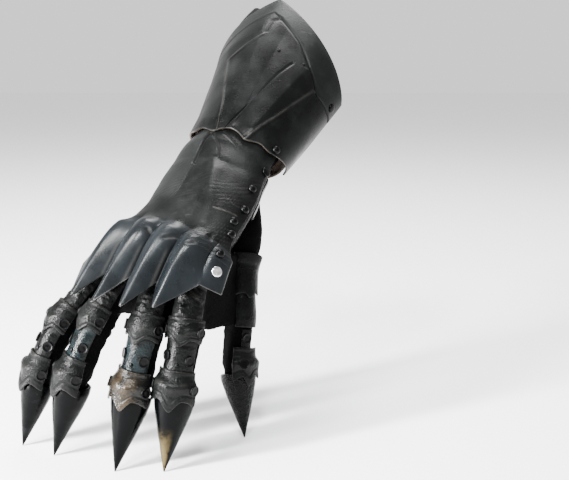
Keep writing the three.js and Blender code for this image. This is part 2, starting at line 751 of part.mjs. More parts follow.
function buildHandPlates() {
  const body = solid(plate(handPlateSurface, 7, 10, 0, PLATE_THICK));
  const slit = (u, v, lift) => handPoint(-0.1 + u * 0.29, (-17 - 6 * u + 3.5 * v) * RADIANS, SECOND + lift);
  const made = body.subtract(solid(plate(slit, 4, 1, -1.5, PLATE_THICK + 6)));
  const feathers = solid(plate(knuckleSurface, 5, 2 * (KNUCKLE_LINES.length - 1), 0, PLATE_THICK));
  add("hand_plate", geometryOf(made.add(feathers)), LEATHER_PLATE);
  for (const lame of HAND_LAMES) {
    const surface = (u, v, lift) => {
      const end = lame.to - lame.round * (2 * v - 1) ** 2;
      const angle = (lame.low + v * (lame.high - lame.low)) * RADIANS;
      const along = lame.from + u * (end - lame.from);
      return handPoint(along, angle, HAND_GAP + lift + wristFlare(along, angle));
    };
    add(lame.part, geometryOf(solid(plate(surface, lame.rows, 4, 0, LAME_THICK))), LEATHER_LAME);
  }
  const strap = (u, v, lift) => {
    const angle = (118 + v * 134) * RADIANS;
    return handPoint(-0.07 + u * 0.13, angle, HAND_GAP + lift);
  };
  add("wrist_strap", geometryOf(solid(plate(strap, 2, 9, 0, LAME_THICK))), LEATHER_LAME);
}

// Studs on the plates: place along and angle, on the hand or on the outer cuff plate
const HAND_STUDS = [
  { name: "hand_stud_1", along: 0.262, angle: 63, kind: DOME_STUD },
  { name: "hand_stud_2", along: 0.456, angle: 67, kind: DOME_STUD },
  { name: "hand_stud_3", along: 0.597, angle: 62, kind: DOME_STUD },
  { name: "hand_stud_4", along: 0.69, angle: 70, kind: DOME_STUD },
  { name: "wrist_stud", along: 0.03, angle: 74, kind: FLAT_STUD },
  { name: "ulnar_stud_1", along: 0.02, angle: -72, kind: DOME_STUD, lower: true },
  { name: "ulnar_stud_2", along: 0.33, angle: -74, kind: DOME_STUD, lower: true },
];
// On the cuff: share of the way up the plate, and share of the way round to the thumb side
const CUFF_STUDS = [
  { name: "cuff_stud_1", up: 0.045, round: 0.815, kind: DOME_STUD },
  { name: "cuff_stud_2", up: 0.8, round: 0.93, kind: FLAT_STUD },
  { name: "cuff_stud_3", up: 0.73, round: 0.67, kind: SMALL_STUD },
  { name: "cuff_stud_4", up: 0.66, round: 0.52, kind: SMALL_STUD },
];

// On the lobe beside the first feather: share of the way down it and round to the thumb side
const LOBE_STUDS = [
  { name: "hand_stud_5", down: 0.3, round: 0.945, kind: DOME_STUD },
  { name: "knuckle_stud", down: 0.66, round: 0.96, kind: FLAT_STUD },
];

function buildStuds() {
  const seat = 0.3;
  for (const one of HAND_STUDS) {
    const top = one.lower ? HAND_GAP + LAME_THICK : SECOND + PLATE_THICK;
    const surface = (u, v, lift) => handPoint(u, v, top + lift + wristFlare(u, v));
    const angle = one.angle * RADIANS;
    const out = outward(surface, one.along, angle);
    add(one.name, rivet(one.kind, surface(one.along, angle, seat), out, 0), BLACK_METAL);
  }
  for (const one of CUFF_STUDS) {
    const surface = (u, v, lift) => outerPlate(u, v, 1.4 + PLATE_THICK + lift);
    const out = outward(surface, one.up, one.round);
    add(one.name, rivet(one.kind, surface(one.up, one.round, seat), out, 0), BLACK_METAL);
  }
  for (const one of LOBE_STUDS) {
    const surface = (u, v, lift) => knuckleSurface(u, v, PLATE_THICK + lift);
    const out = outward(surface, one.down, one.round);
    const at = surface(one.down, one.round, 0).addScaledVector(out, 2.6 * seat);
    add(one.name, rivet(one.kind, at, out, 0), one.name === "knuckle_stud" ? CHROME : BLACK_METAL);
  }
}

// Knuckle end of that plate: four feathers over the knuckles and a lobe towards the thumb.
// Between its lines the height runs in arches, so that each feather is a broad dome.
function arched(place, name) {
  const i = Math.min(KNUCKLE_LINES.length - 2, Math.floor(place));
  const [a, b] = [KNUCKLE_LINES[i][name], KNUCKLE_LINES[i + 1][name]];
  const t = a < b ? place - i : 1 - (place - i);
  return Math.min(a, b) + Math.abs(b - a) * Math.sin((t * Math.PI) / 2) ** 0.85;
}

function knuckleSurface(u, v, lift) {
  const place = v * (KNUCKLE_LINES.length - 1);
  const rows = KNUCKLE_LINES.map((row, i) => ({ ...row, place: i }));
  const read = (name) => column(rows, place, "place", name);
  const path = [
    { t: 0, across: read("across"), along: read("top"), high: read("topHigh") },
    { t: 0.45, across: read("across"), along: read("brow"), high: arched(place, "browHigh") },
    { t: 1, across: read("tipAcross"), along: read("tip"), high: read("tipHigh") },
  ];
  const x = column(path, u, "t", "across") * PALM_HALF_WIDTH;
  const y = column(path, u, "t", "along") * HAND_LENGTH;
  const z = column(path, u, "t", "high") * WRIST_HALF_DEPTH;
  return new THREE.Vector3(x, -y, z + lift);
}

buildGlove();
buildCuff();
buildHandPlates();
buildStuds();
for (const [name, finger] of Object.entries(FINGERS)) {
  for (const item of FINGER_PLATES) buildFingerPlate(name, finger, item);
  buildClaw(name, finger);
}
for (const item of THUMB_PLATES) buildFingerPlate("thumb", THUMB, item);
buildClaw("thumb", THUMB);

export default group;
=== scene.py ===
import itertools
import math

import bmesh
import bpy
import numpy as np
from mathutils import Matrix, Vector


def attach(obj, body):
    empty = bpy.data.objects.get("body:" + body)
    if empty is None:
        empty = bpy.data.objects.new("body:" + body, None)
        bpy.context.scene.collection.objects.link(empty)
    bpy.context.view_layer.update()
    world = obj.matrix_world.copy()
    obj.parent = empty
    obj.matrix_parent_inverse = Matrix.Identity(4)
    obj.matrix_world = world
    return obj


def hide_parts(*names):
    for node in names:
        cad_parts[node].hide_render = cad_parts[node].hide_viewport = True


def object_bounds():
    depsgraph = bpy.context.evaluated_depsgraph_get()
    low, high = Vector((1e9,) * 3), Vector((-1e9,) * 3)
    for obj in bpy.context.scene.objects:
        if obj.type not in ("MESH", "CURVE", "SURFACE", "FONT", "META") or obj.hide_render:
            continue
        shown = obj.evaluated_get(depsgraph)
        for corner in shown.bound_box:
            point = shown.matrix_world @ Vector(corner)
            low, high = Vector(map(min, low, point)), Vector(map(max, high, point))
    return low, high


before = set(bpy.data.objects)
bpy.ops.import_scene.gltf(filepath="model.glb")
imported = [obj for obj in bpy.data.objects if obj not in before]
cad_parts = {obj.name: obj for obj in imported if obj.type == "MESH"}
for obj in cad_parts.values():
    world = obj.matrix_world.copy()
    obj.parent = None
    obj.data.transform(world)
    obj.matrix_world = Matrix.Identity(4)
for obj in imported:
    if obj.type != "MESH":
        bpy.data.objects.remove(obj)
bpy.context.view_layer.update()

# Main sizes
HAND_LENGTH = 97
PALM_HALF_WIDTH = 40
WRIST_HALF_DEPTH = 18
FINGER_HALF = 9.2
CUFF_LENGTH = 152
CUFF_WRIST_HALF = 33
CUFF_SIDE_SHARE = 0.68
CUFF_WRIST_EDGE = 7
CUFF_INNER_RISE = 17
PLATE_THICK = 1.6
LAME_THICK = 1.4
CLAW_WALL = 1.6
GLOVE_WALL = 1.3
WEB_THICK = 2.6
GLOVE_CELL = 1.6
GAP = 0.35
HAND_GAP = 0.68
SECOND = 2 * HAND_GAP + LAME_THICK
FLARE_SIDE = 0.9
FLARE_BACK = 3.4

# Flat sizes of the large plates, along and across, and how many cells their meshes have
CUFF_FACE = (140, 200)
CUFF_CELLS = (160, 250)
LINING_FACE = (120, 260)
LINING_CELLS = (36, 110)
HAND_FACE = (150, 100)
HAND_CELLS = (232, 192)
FEATHER_FACE = (60, 95)
FINGER_CELLS = (48, 56)

# Room between the outer plate of the cuff and its lining, beside their gap
CUFF_STEP = 1.4
# Plates are rubbed pale this far in from their edges
RUBBED_EDGE = 0.55

# The hand plate: its ends along the hand, its first edge and spread in degrees round it, where
# on its run the feathers rise and stand alone, and the millimetres that one degree takes
PLATE_START = -0.19
PLATE_END = 0.78
PLATE_END_SHARE = 0.52
PLATE_LAST = 0.96
PLATE_LOW = -62
PLATE_SPREAD = 142
FEATHERS_RISE = 0.46
FEATHERS_ALONE = 0.6
DEGREE = 0.62

# The brow of the feathers lies at this share of their run
BROW = 0.45


def table(names, rows):
    columns = np.array(rows, float).T
    return dict(zip(names.split(), columns))


HAND_SECTIONS = table("along half back palm shift", [
    (-0.46, 0.78, 1.14, 1.14, -0.12),
    (-0.22, 0.755, 1.05, 1.05, -0.065),
    (0.0, 0.84, 1.0, 1.0, -0.06),
    (0.31, 0.93, 0.92, 1.1, 0.07),
    (0.57, 0.92, 0.88, 1.2, 0.18),
    (0.78, 0.96, 0.82, 1.05, 0.17),
    (0.93, 0.98, 0.7, 0.85, 0.16),
    (1.0, 0.9, 0.42, 0.6, 0.14),
])
FINGERS = {
    "index": dict(
        knuckle=(0.845, 0.957, -0.14),
        lengths=(0.426, 0.36, 0.543),
        lean=(6.3, 1.6, 4.6),
        bend=(37.0, 43.7, 41.7),
        turn=15, thick=1.0, claw=(12.8, 49),
    ),
    "middle": dict(
        knuckle=(0.315, 0.996, 0.144),
        lengths=(0.475, 0.393, 0.54),
        lean=(5.0, -3.0, 2.9),
        bend=(31.8, 44.3, 37.2),
        turn=8, thick=1.0, claw=(12.6, 49),
    ),
    "ring": dict(
        knuckle=(-0.2, 1.0, 0.06),
        lengths=(0.519, 0.39, 0.564),
        lean=(-12.6, -10.0, -6.2),
        bend=(24.5, 37.1, 45.2),
        turn=-4, thick=0.97, claw=(11.9, 50),
    ),
    "pinky": dict(
        knuckle=(-0.675, 0.959, -0.194),
        lengths=(0.632, 0.361, 0.542),
        lean=(-19.4, -11.7, -6.2),
        bend=(20.9, 36.1, 45.8),
        turn=-4, thick=0.9, claw=(10.7, 46),
    ),
    "thumb": dict(
        knuckle=(0.763, 0.55, -2.33),
        lengths=(0.343, 0.337, 0.5),
        lean=(14.7, 9.0, 18.5),
        bend=(41.2, 44.2, 46.3),
        thick=1.0, root=0.5, claw=(12.0, 44),
        backwards=(-0.325, 0.443, 1.667),
        back=(0.88, -0.12, 0.44),
    ),
}
FINGER_SECTIONS = table("joint side deep", [
    (-1.0, 1.0, 1.05),
    (0.0, 1.0, 1.05),
    (0.5, 0.97, 1.0),
    (1.0, 1.02, 1.04),
    (1.5, 0.96, 0.97),
    (2.0, 1.03, 1.02),
    (2.2, 0.98, 0.95),
    (2.4, 0.78, 0.75),
    (2.52, 0.4, 0.38),
])
CLAW_ROWS = [(0.0, 1.0), (0.1, 1.0), (0.3, 0.83), (0.55, 0.55), (0.8, 0.26), (1.0, 0.03)]
CLAW_PROFILE = table("along radius", CLAW_ROWS)
CUFF_SECTIONS = table("along half back palm shift", [
    (0.0, 1.05, 0.7, 0.68, 0.08),
    (0.26, 1.2, 0.9, 0.84, 0.2),
    (0.53, 1.44, 1.14, 1.0, 0.41),
    (0.79, 1.7, 1.34, 1.12, 0.61),
    (1.08, 1.9, 1.5, 1.22, 0.88),
])
CUFF_FLUTES = table("wrist mouth out", [
    (-112, -104, 0.0),
    (-80, -80, 0.0),
    (-52, -62, 0.0),
    (-18, -40, 2.2),
    (-9, -6, 1.2),
    (0, 17, -1.3),
    (9, 36, 0.6),
    (18, 54, 2.6),
    (52, 68, -0.2),
    (82, 84, 0.0),
    (112, 104, 0.0),
])
# Lines of the feathers: across in shares of the palm's half width, high in shares of the
# wrist's half depth and the places along in shares of the hand length
KNUCKLE_LINES = table("across top top_high brow brow_high tip tip_high tip_across", [
    (-0.88, 0.8, 0.18, 0.98, 0.384, 1.16, 0.007, -1.116),
    (-0.727, 0.76, 0.761, 0.98, 0.869, 1.45, -0.047, -0.849),
    (-0.436, 0.72, 0.896, 0.97, 0.653, 1.2, 0.114, -0.485),
    (-0.17, 0.7, 1.031, 1, 1.138, 1.49, 0.17, -0.291),
    (0.085, 0.73, 1.031, 0.99, 0.815, 1.22, 0.33, 0.073),
    (0.34, 0.72, 1.058, 1.01, 1.192, 1.48, 0.33, 0.315),
    (0.594, 0.75, 0.977, 0.98, 0.815, 1.2, 0.33, 0.582),
    (0.837, 0.76, 0.923, 1, 1.031, 1.39, 0.08, 0.752),
    (1.116, 0.78, 0.492, 0.94, 0.438, 1.12, 0.061, 1.188),
    (1.382, 0.8, 0.061, 0.92, -0.209, 1.08, -0.478, 1.455),
])


# The turn from the hand's directions to the standing part
def turn_matrix(axis, degrees):
    c, s = math.cos(math.radians(degrees)), math.sin(math.radians(degrees))
    i, j = [(1, 2), (2, 0), (0, 1)][axis]
    m = np.eye(3)
    m[i, i], m[i, j], m[j, i], m[j, j] = c, -s, s, c
    return m


STAND = turn_matrix(2, -33.84) @ turn_matrix(0, 30.87) @ turn_matrix(1, 4.5)


# Small maths
def smooth(low, high, value):
    t = np.clip((value - low) / (high - low), 0, 1)
    return t * t * (3 - 2 * t)


def eased(t, a, b, leave, arrive):
    """Run from a to b with the given slopes at its ends."""
    ends = (2 * t**3 - 3 * t**2 + 1) * a + (3 * t**2 - 2 * t**3) * b
    return ends + (t**3 - 2 * t**2 + t) * leave + (t**3 - t**2) * arrive


def column(rows, key, name, place):
    """Value of a named column at places along a table, eased between its rows."""
    x, y = rows[key], rows[name]
    p = np.clip(place, x[0], x[-1])
    i = np.clip(np.searchsorted(x, p, side="left") - 1, 0, len(x) - 2)
    slope = np.empty(len(x))
    slope[1:-1] = (y[2:] - y[:-2]) / (x[2:] - x[:-2])
    slope[0], slope[-1] = (y[1] - y[0]) / (x[1] - x[0]), (y[-1] - y[-2]) / (x[-1] - x[-2])
    span = x[i + 1] - x[i]
    t = (p - x[i]) / span
    return eased(t, y[i], y[i + 1], span * slope[i], span * slope[i + 1])


def bump(value, middle, width):
    return np.exp(-(((value - middle) / width) ** 2))


def stack(x, y, z):
    return np.stack(np.broadcast_arrays(x, y, z), axis=-1).astype(float)


def unit(v):
    return v / np.maximum(np.linalg.norm(v, axis=-1, keepdims=True), 1e-12)


def noise(points, size, seed=0):
    """Smooth noise from -1 to 1 in three dimensions, with cells of the given size."""
    p = np.asarray(points, float) / size + 31.7 * seed + 500.0
    i = np.floor(p).astype(np.int64)
    f = p - i
    f = f * f * (3 - 2 * f)
    total = np.zeros(p.shape[:-1])
    for corner in itertools.product((0, 1), repeat=3):
        c = i + np.array(corner)
        h = (c[..., 0] * 73856093) ^ (c[..., 1] * 19349663) ^ (c[..., 2] * 83492791)
        h = (h * 1103515245 + 12345) & 0x7FFFFFFF
        h = ((h >> 7) * 69621 + 911) & 0xFFFFFF
        w = np.prod(np.where(np.array(corner) == 1, f, 1 - f), axis=-1)
        total += w * (h / 0x7FFFFF - 1)
    return total


# Surfaces
def section(rows, along, angle, lift, width, depth):
    """How far out, high and aside a point lies on an oval whose back and palm sides differ."""
    read = lambda name: column(rows, "along", name, along)
    half = read("half") * width + lift
    deep = np.where(np.cos(angle) > 0, read("back"), read("palm")) * depth + lift
    return half * np.sin(angle), deep * np.cos(angle), read("shift") * width


def hand_point(along, angle, lift=0.0):
    out, high, shift = section(HAND_SECTIONS, along, angle, lift, PALM_HALF_WIDTH, WRIST_HALF_DEPTH)
    return stack(shift + out, -along * HAND_LENGTH, high)


def catmull(points, t):
    """Centripetal curve through the points at shares t of its run."""
    n = len(points)
    p = np.clip(t, 0, 1) * (n - 1)
    i = np.minimum(np.floor(p).astype(int), n - 2)
    w = (p - i)[..., None]
    before = 2 * points[0] - points[1]
    after = 2 * points[-1] - points[-2]
    full = np.vstack([before, points, after])
    p0, p1, p2, p3 = full[i], full[i + 1], full[i + 2], full[i + 3]
    step = lambda a, b: np.sum((a - b) ** 2, axis=-1, keepdims=True) ** 0.25
    d0, d1, d2 = step(p0, p1), step(p1, p2), step(p2, p3)
    t1 = ((p1 - p0) / d0 - (p2 - p0) / (d0 + d1) + (p2 - p1) / d1) * d1
    t2 = ((p2 - p1) / d1 - (p3 - p1) / (d1 + d2) + (p3 - p2) / d2) * d1
    return p1 + t1 * w + (3 * p2 - 3 * p1 - 2 * t1 - t2) * w**2 + (2 * p1 - 2 * p2 + t1 + t2) * w**3


def set_out_finger(finger):
    x, y, z = finger["knuckle"]
    start = np.array([x * PALM_HALF_WIDTH, -y * HAND_LENGTH, z * WRIST_HALF_DEPTH])
    joints = [start]
    for length, lean, bend in zip(finger["lengths"], finger["lean"], finger["bend"]):
        lean, bend = math.radians(lean), math.radians(bend)
        step = (math.sin(lean), -math.cos(lean) * math.cos(bend), -math.cos(lean) * math.sin(bend))
        joints.append(joints[-1] + np.array(step) * length * HAND_LENGTH)
    first = (joints[0] - joints[1]) * 0.8
    if "backwards" in finger:
        first = np.array(finger["backwards"]) * (PALM_HALF_WIDTH, HAND_LENGTH, WRIST_HALF_DEPTH)
    joints.insert(0, start + first)
    t = np.linspace(0, 1, 1601)
    line = catmull(np.array(joints), t)
    turn = math.radians(finger.get("turn", 0))
    back = unit(np.array(finger.get("back", (math.sin(turn), 0, math.cos(turn))), float))
    along = unit(np.gradient(line, axis=0))
    finger["line"] = dict(joint=t * 4 - 1, point=line, along=along)
    finger["back_way"] = back


def finger_frame(finger, joint):
    joint = np.asarray(joint, float)
    line = finger["line"]
    read = lambda a: np.stack([np.interp(joint, line["joint"], a[:, k]) for k in range(3)], -1)
    middle, along = read(line["point"]), unit(read(line["along"]))
    back = finger["back_way"] - along * np.sum(along * finger["back_way"], -1, keepdims=True)
    back = unit(back)
    return middle, along, back, np.cross(back, along)


def root_swell(finger, joint):
    swell = smooth(-0.1, 0.45, -joint) * (1 - 0.7 * smooth(0.5, 0.95, -joint))
    return 1 + finger.get("root", 0) * swell


def finger_point(finger, joint, angle, lift=0.0):
    joint, angle, lift = np.broadcast_arrays(joint, angle, lift)
    middle, _, back, side = finger_frame(finger, joint)
    size = FINGER_HALF * finger["thick"] * root_swell(finger, joint)
    half = column(FINGER_SECTIONS, "joint", "side", joint) * size + lift
    deep = column(FINGER_SECTIONS, "joint", "deep", joint) * size + lift
    return middle + side * (half * np.sin(angle))[..., None] + back * (deep * np.cos(angle))[..., None]


for one in FINGERS.values():
    set_out_finger(one)


# Meshes from arrays
def grid_faces(rows, columns):
    """Faces of a grid of points with four open sides."""
    i, j = np.meshgrid(np.arange(rows - 1), np.arange(columns - 1), indexing="ij")
    k = (i * columns + j).ravel()
    return np.stack([k, k + 1, k + columns + 1, k + columns], 1)


def ring_faces(rows, columns):
    """Faces between rings of points, closed round each ring."""
    i, j = np.meshgrid(np.arange(rows - 1), np.arange(columns), indexing="ij")
    n = (j + 1) % columns
    low, high = i * columns, (i + 1) * columns
    return np.stack([low + j, low + n, high + n, high + j], -1).reshape(-1, 4)


def edge_samples(count, rim):
    """Shares from 0 to 1, dense beside both ends."""
    near = np.array([0, 0.06, 0.2, 0.42, 0.7]) * rim
    inner = np.linspace(rim, 1 - rim, count)
    return np.concatenate([near, inner, 1 - near[::-1]])


def grid_normals(points, towards):
    du = np.gradient(points, axis=0)
    dv = np.gradient(points, axis=1)
    n = unit(np.cross(du, dv))
    return n if np.sum(n * towards) >= 0 else -n


def sheet(surface, size, cells, thick, relief=None):
    """A curved plate with rounded edges: surface(u, v, lift), its size and cells each way.
    relief(u, v, base) gives its height and, by name, what the leather shows there."""
    rim = thick * 0.5
    u = edge_samples(cells[0], rim / size[0])
    v = edge_samples(cells[1], rim / size[1])
    U, V = np.meshgrid(u, v, indexing="ij")
    base = surface(U, V, 0.0)
    normal = grid_normals(base, surface(U, V, 1.0) - base)
    distance = np.minimum(np.minimum(U, 1 - U) * size[0], np.minimum(V, 1 - V) * size[1])
    arc = np.sqrt(1 - (1 - np.clip(distance / rim, 0, 1)) ** 2)
    inside = smooth(0, 1.5, distance)
    top = thick * (0.5 + 0.5 * arc)
    fields = relief(U, V, base) if relief else {}
    top = top + fields.pop("height", 0.0) * inside
    bottom = thick * (0.5 - 0.5 * arc)
    upper = base + normal * top[..., None]
    lower = base + normal * bottom[..., None]
    rows, columns = U.shape
    keep = np.zeros(U.shape, bool)
    keep[1:-1, 1:-1] = True
    low_index = np.arange(rows * columns).reshape(rows, columns)
    low_index[keep] = rows * columns + np.arange(keep.sum())
    faces = grid_faces(rows, columns)
    low_faces = low_index.ravel()[faces][:, ::-1]
    points = np.vstack([upper.reshape(-1, 3), lower[keep]])
    worn = 0.6 * bump(distance, 0, RUBBED_EDGE)
    fields["worn"] = np.maximum(worn, fields.get("worn", 0.0))
    data = {}
    for name, value in fields.items():
        value = np.broadcast_to(value, U.shape)
        data[name] = np.concatenate([value.ravel(), value[keep]])
    data["depth"] = np.concatenate([np.zeros(rows * columns), np.ones(keep.sum())])
    return orient(points, np.vstack([faces, low_faces])), data


def trace(x, y, line, width):
    """Nearness, from 0 to 1, to a line through the given places."""
    best = np.full(np.shape(x), 1e9)
    for (ax, ay), (bx, by) in zip(line, line[1:]):
        dx, dy = bx - ax, by - ay
        t = np.clip(((x - ax) * dx + (y - ay) * dy) / (dx * dx + dy * dy), 0, 1)
        best = np.minimum(best, np.hypot(x - ax - t * dx, y - ay - t * dy))
    return bump(best, 0, width)


def orient(points, faces):
    """Turns all faces of a closed mesh to look out."""
    a, b, c, d = (points[faces[:, k]] for k in range(4))
    volume = np.sum(a * np.cross(b, c)) + np.sum(a * np.cross(c, d))
    return points, (faces if volume > 0 else faces[:, ::-1])


def revolve(profile, segments):
    """A closed turned body about z from (radius, height) rows; rows of radius 0 make its poles."""
    profile = np.array(profile, float)
    angle = np.arange(segments) * 2 * np.pi / segments
    x = profile[:, 0:1] * np.cos(angle)
    y = profile[:, 0:1] * np.sin(angle)
    points = stack(x, y, np.broadcast_to(profile[:, 1:2], x.shape)).reshape(-1, 3)
    return orient(points, ring_faces(len(profile), segments))


def place(shape, at, out):
    points, faces = shape
    out = unit(np.asarray(out, float))
    side = unit(np.cross(out, (0.3, 0.9, 0.2)))
    up = np.cross(out, side)
    return points @ np.array([side, up, out]) + at, faces


# What the leather shows at each point: rubbed edges and painted highlights, inner faces, paler dye and
# painted shading, polish, dirt and painted shade, and stain
FIELDS = ("worn", "depth", "tone", "gloss", "dirt_and_shade", "stain")


class Body:
    """Collects shapes for one Blender mesh."""

    def __init__(self):
        self.points, self.faces, self.slots = [], [], []
        self.data = {name: [] for name in FIELDS}
        self.count = 0

    def add(self, shape, slot=0, **fields):
        points, faces = shape
        self.points.append(points)
        self.faces.append(np.asarray(faces) + self.count)
        self.slots.append(np.full(len(faces), slot))
        for key in FIELDS:
            self.data[key].append(np.broadcast_to(fields.get(key, 0.0), (len(points),)))
        self.count += len(points)

    def make(self, name, materials, nodes):
        points = np.vstack(self.points) @ STAND.T * 0.001
        faces = np.vstack(self.faces).astype(np.int32)
        mesh = bpy.data.meshes.new(name)
        mesh.vertices.add(len(points))
        mesh.vertices.foreach_set("co", points.ravel())
        mesh.loops.add(faces.size)
        mesh.loops.foreach_set("vertex_index", faces.ravel())
        mesh.polygons.add(len(faces))
        mesh.polygons.foreach_set("loop_start", np.arange(0, faces.size, 4))
        mesh.polygons.foreach_set("material_index", np.concatenate(self.slots).astype(np.int32))
        mesh.shade_smooth()
        mesh.update(calc_edges=True)
        for key, values in self.data.items():
            layer = mesh.attributes.new(key, "FLOAT", "POINT")
            layer.data.foreach_set("value", np.concatenate(values).astype(np.float32))
        for material in materials:
            mesh.materials.append(material)
        mesh.validate()
        publish(new_object(name, mesh), nodes)


def new_object(name, data):
    made = bpy.data.objects.new(name, data)
    bpy.context.scene.collection.objects.link(made)
    return made


def publish(obj, nodes):
    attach(obj, "root")
    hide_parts(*nodes)


# Materials
def node(tree, kind, inputs=None, **settings):
    made = tree.nodes.new(kind)
    for key, value in settings.items():
        setattr(made, key, value)
    for key, value in (inputs or {}).items():
        socket = made.inputs[key]
        if isinstance(value, bpy.types.NodeSocket):
            tree.links.new(value, socket)
        else:
            socket.default_value = value
    return made


def mix_colour(tree, factor, a, b):
    made = tree.nodes.new("ShaderNodeMix")
    made.data_type = "RGBA"
    for socket, value in ((0, factor), (6, a), (7, b)):
        if isinstance(value, bpy.types.NodeSocket):
            tree.links.new(value, made.inputs[socket])
        else:
            made.inputs[socket].default_value = (*value, 1)
    return made.outputs[2]


def maths(tree, kind, a, b=0.0, clamp=False):
    return node(tree, "ShaderNodeMath", {0: a, 1: b}, operation=kind, use_clamp=clamp).outputs[0]


def ramp(tree, value, low, high, start=0.0, end=1.0):
    ends = {"Value": value, "From Min": low, "From Max": high, "To Min": start, "To Max": end}
    return node(tree, "ShaderNodeMapRange", ends, interpolation_type="SMOOTHSTEP").outputs[0]


def noise_node(tree, where, scale, detail=4.0, rough=0.55, stretch=None, distortion=0.0):
    if stretch is not None:
        where = node(tree, "ShaderNodeMapping", {"Vector": where, "Scale": stretch}).outputs[0]
    inputs = dict(Vector=where, Scale=scale, Detail=detail, Roughness=rough, Distortion=distortion)
    return node(tree, "ShaderNodeTexNoise", inputs).outputs[0]


def new_material(name):
    material = bpy.data.materials.new(name)
    material.use_nodes = True
    tree = material.node_tree
    return material, tree, node(tree, "ShaderNodeTexCoord").outputs["Object"]


def dress(tree, colour, rough, shine, height, strength, distance):
    """Joins the shader to its colour, roughness and fine relief."""
    shader = tree.nodes["Principled BSDF"]
    bumped = node(tree, "ShaderNodeBump", {"Height": height, "Strength": strength, "Distance": distance})
    tree.links.new(colour, shader.inputs["Base Color"])
    tree.links.new(rough, shader.inputs["Roughness"])
    tree.links.new(bumped.outputs[0], shader.inputs["Normal"])
    shader.inputs["Specular IOR Level"].default_value = shine
    return shader


# Pale colour of rubbed edges and scratches, also of painted highlights; dark colour of dirt, also of painted
# shade
RUB_AND_HIGHLIGHT = (0.026, 0.025, 0.023)
GRIME_AND_SHADE = (0.0008, 0.0008, 0.0009)


def leather(
    name, dark, light, rough, shine, grain=0.12, rub_and_highlight_colour=RUB_AND_HIGHLIGHT, inside=None, tint=None, scratch=0.5, polish=0.2
):
    """Dyed leather with pores, mottling, scratches, stains, worn edges and dirt, and the painted shade and
    highlights that its attributes carry.
    """
    material, tree, where = new_material(name)
    read = lambda key: node(tree, "ShaderNodeAttribute", attribute_name=key).outputs["Fac"]
    times = lambda a, b: maths(tree, "MULTIPLY", a, b)
    cloud = noise_node(tree, where, 38, 6, 0.62)
    fine = noise_node(tree, where, 420, 3, 0.6)
    blotch = noise_node(tree, where, 110, 4, 0.6, distortion=0.6)
    pale = maths(tree, "ADD", times(ramp(tree, cloud, 0.38, 0.68), 0.45), read("tone"), clamp=True)
    colour = mix_colour(tree, pale, dark, light)
    if tint is not None:
        colour = mix_colour(tree, times(read("stain"), ramp(tree, blotch, 0.32, 0.56)), colour, tint)
    lines = noise_node(tree, where, 60, 3, 0.5, stretch=(1, 9, 3), distortion=0.4)
    marks = times(times(ramp(tree, lines, 0.66, 0.71), ramp(tree, cloud, 0.5, 0.65)), scratch)
    colour = mix_colour(tree, marks, colour, rub_and_highlight_colour)
    # Pale where rubbed, and where a highlight is painted in
    rubbed_and_highlight = times(read("worn"), ramp(tree, noise_node(tree, where, 90, 4), 0.3, 0.58))
    colour = mix_colour(tree, rubbed_and_highlight, colour, rub_and_highlight_colour)
    # Dark where dirty, and where shade is painted in
    grime_and_shade = times(read("dirt_and_shade"), 0.93)
    colour = mix_colour(tree, grime_and_shade, colour, GRIME_AND_SHADE)
    depth = read("depth")
    if inside is not None:
        fibre = mix_colour(tree, ramp(tree, blotch, 0.35, 0.65), tuple(c * 0.45 for c in inside), inside)
        colour = mix_colour(tree, depth, colour, fibre)
    gloss = ramp(tree, cloud, 0.3, 0.75, rough - 0.06, rough + 0.1)
    gloss = maths(tree, "SUBTRACT", gloss, times(read("gloss"), polish))
    gloss = maths(tree, "ADD", gloss, times(grime_and_shade, 0.5))
    gloss = maths(tree, "ADD", gloss, times(depth, 0.4 if inside else 0.0), clamp=True)
    pores = node(tree, "ShaderNodeTexVoronoi", {"Vector": where, "Scale": 900.0}).outputs["Distance"]
    height = maths(tree, "ADD", times(pores, 0.5), times(fine, 0.8))
    height = maths(tree, "SUBTRACT", height, times(marks, 0.6))
    dress(tree, colour, gloss, shine, height, grain, 0.001)
    return material


def metal(name, colour, rough, metallic=1.0, shine=0.5):
    """Smooth or lacquered metal with a faint cloud in colour and gloss."""
    material, tree, where = new_material(name)
    cloud = noise_node(tree, where, 300, 4, 0.6)
    shade = mix_colour(tree, ramp(tree, cloud, 0.35, 0.7), tuple(c * 0.6 for c in colour), colour)
    gloss = ramp(tree, cloud, 0.3, 0.7, rough, rough + 0.15)
    dress(tree, shade, gloss, shine, cloud, 0.08, 0.0005).inputs["Metallic"].default_value = metallic
    return material


RAW = (0.05, 0.032, 0.022)
GREY = ((0.0009, 0.001, 0.001), (0.0078, 0.0086, 0.0084))
BLUE_GREY = ((0.0009, 0.0013, 0.0016), (0.0045, 0.0062, 0.0078))
LAMES = ((0.0005, 0.0006, 0.0006), (0.0046, 0.005, 0.0047))
SOFT_BLACK = ((0.0006, 0.0006, 0.0007), (0.0024, 0.0024, 0.0026))
WAXED = ((0.0003, 0.0004, 0.0005), (0.03, 0.032, 0.036))
COARSE = ((0.0005, 0.0005, 0.0006), (0.006, 0.0062, 0.0064))
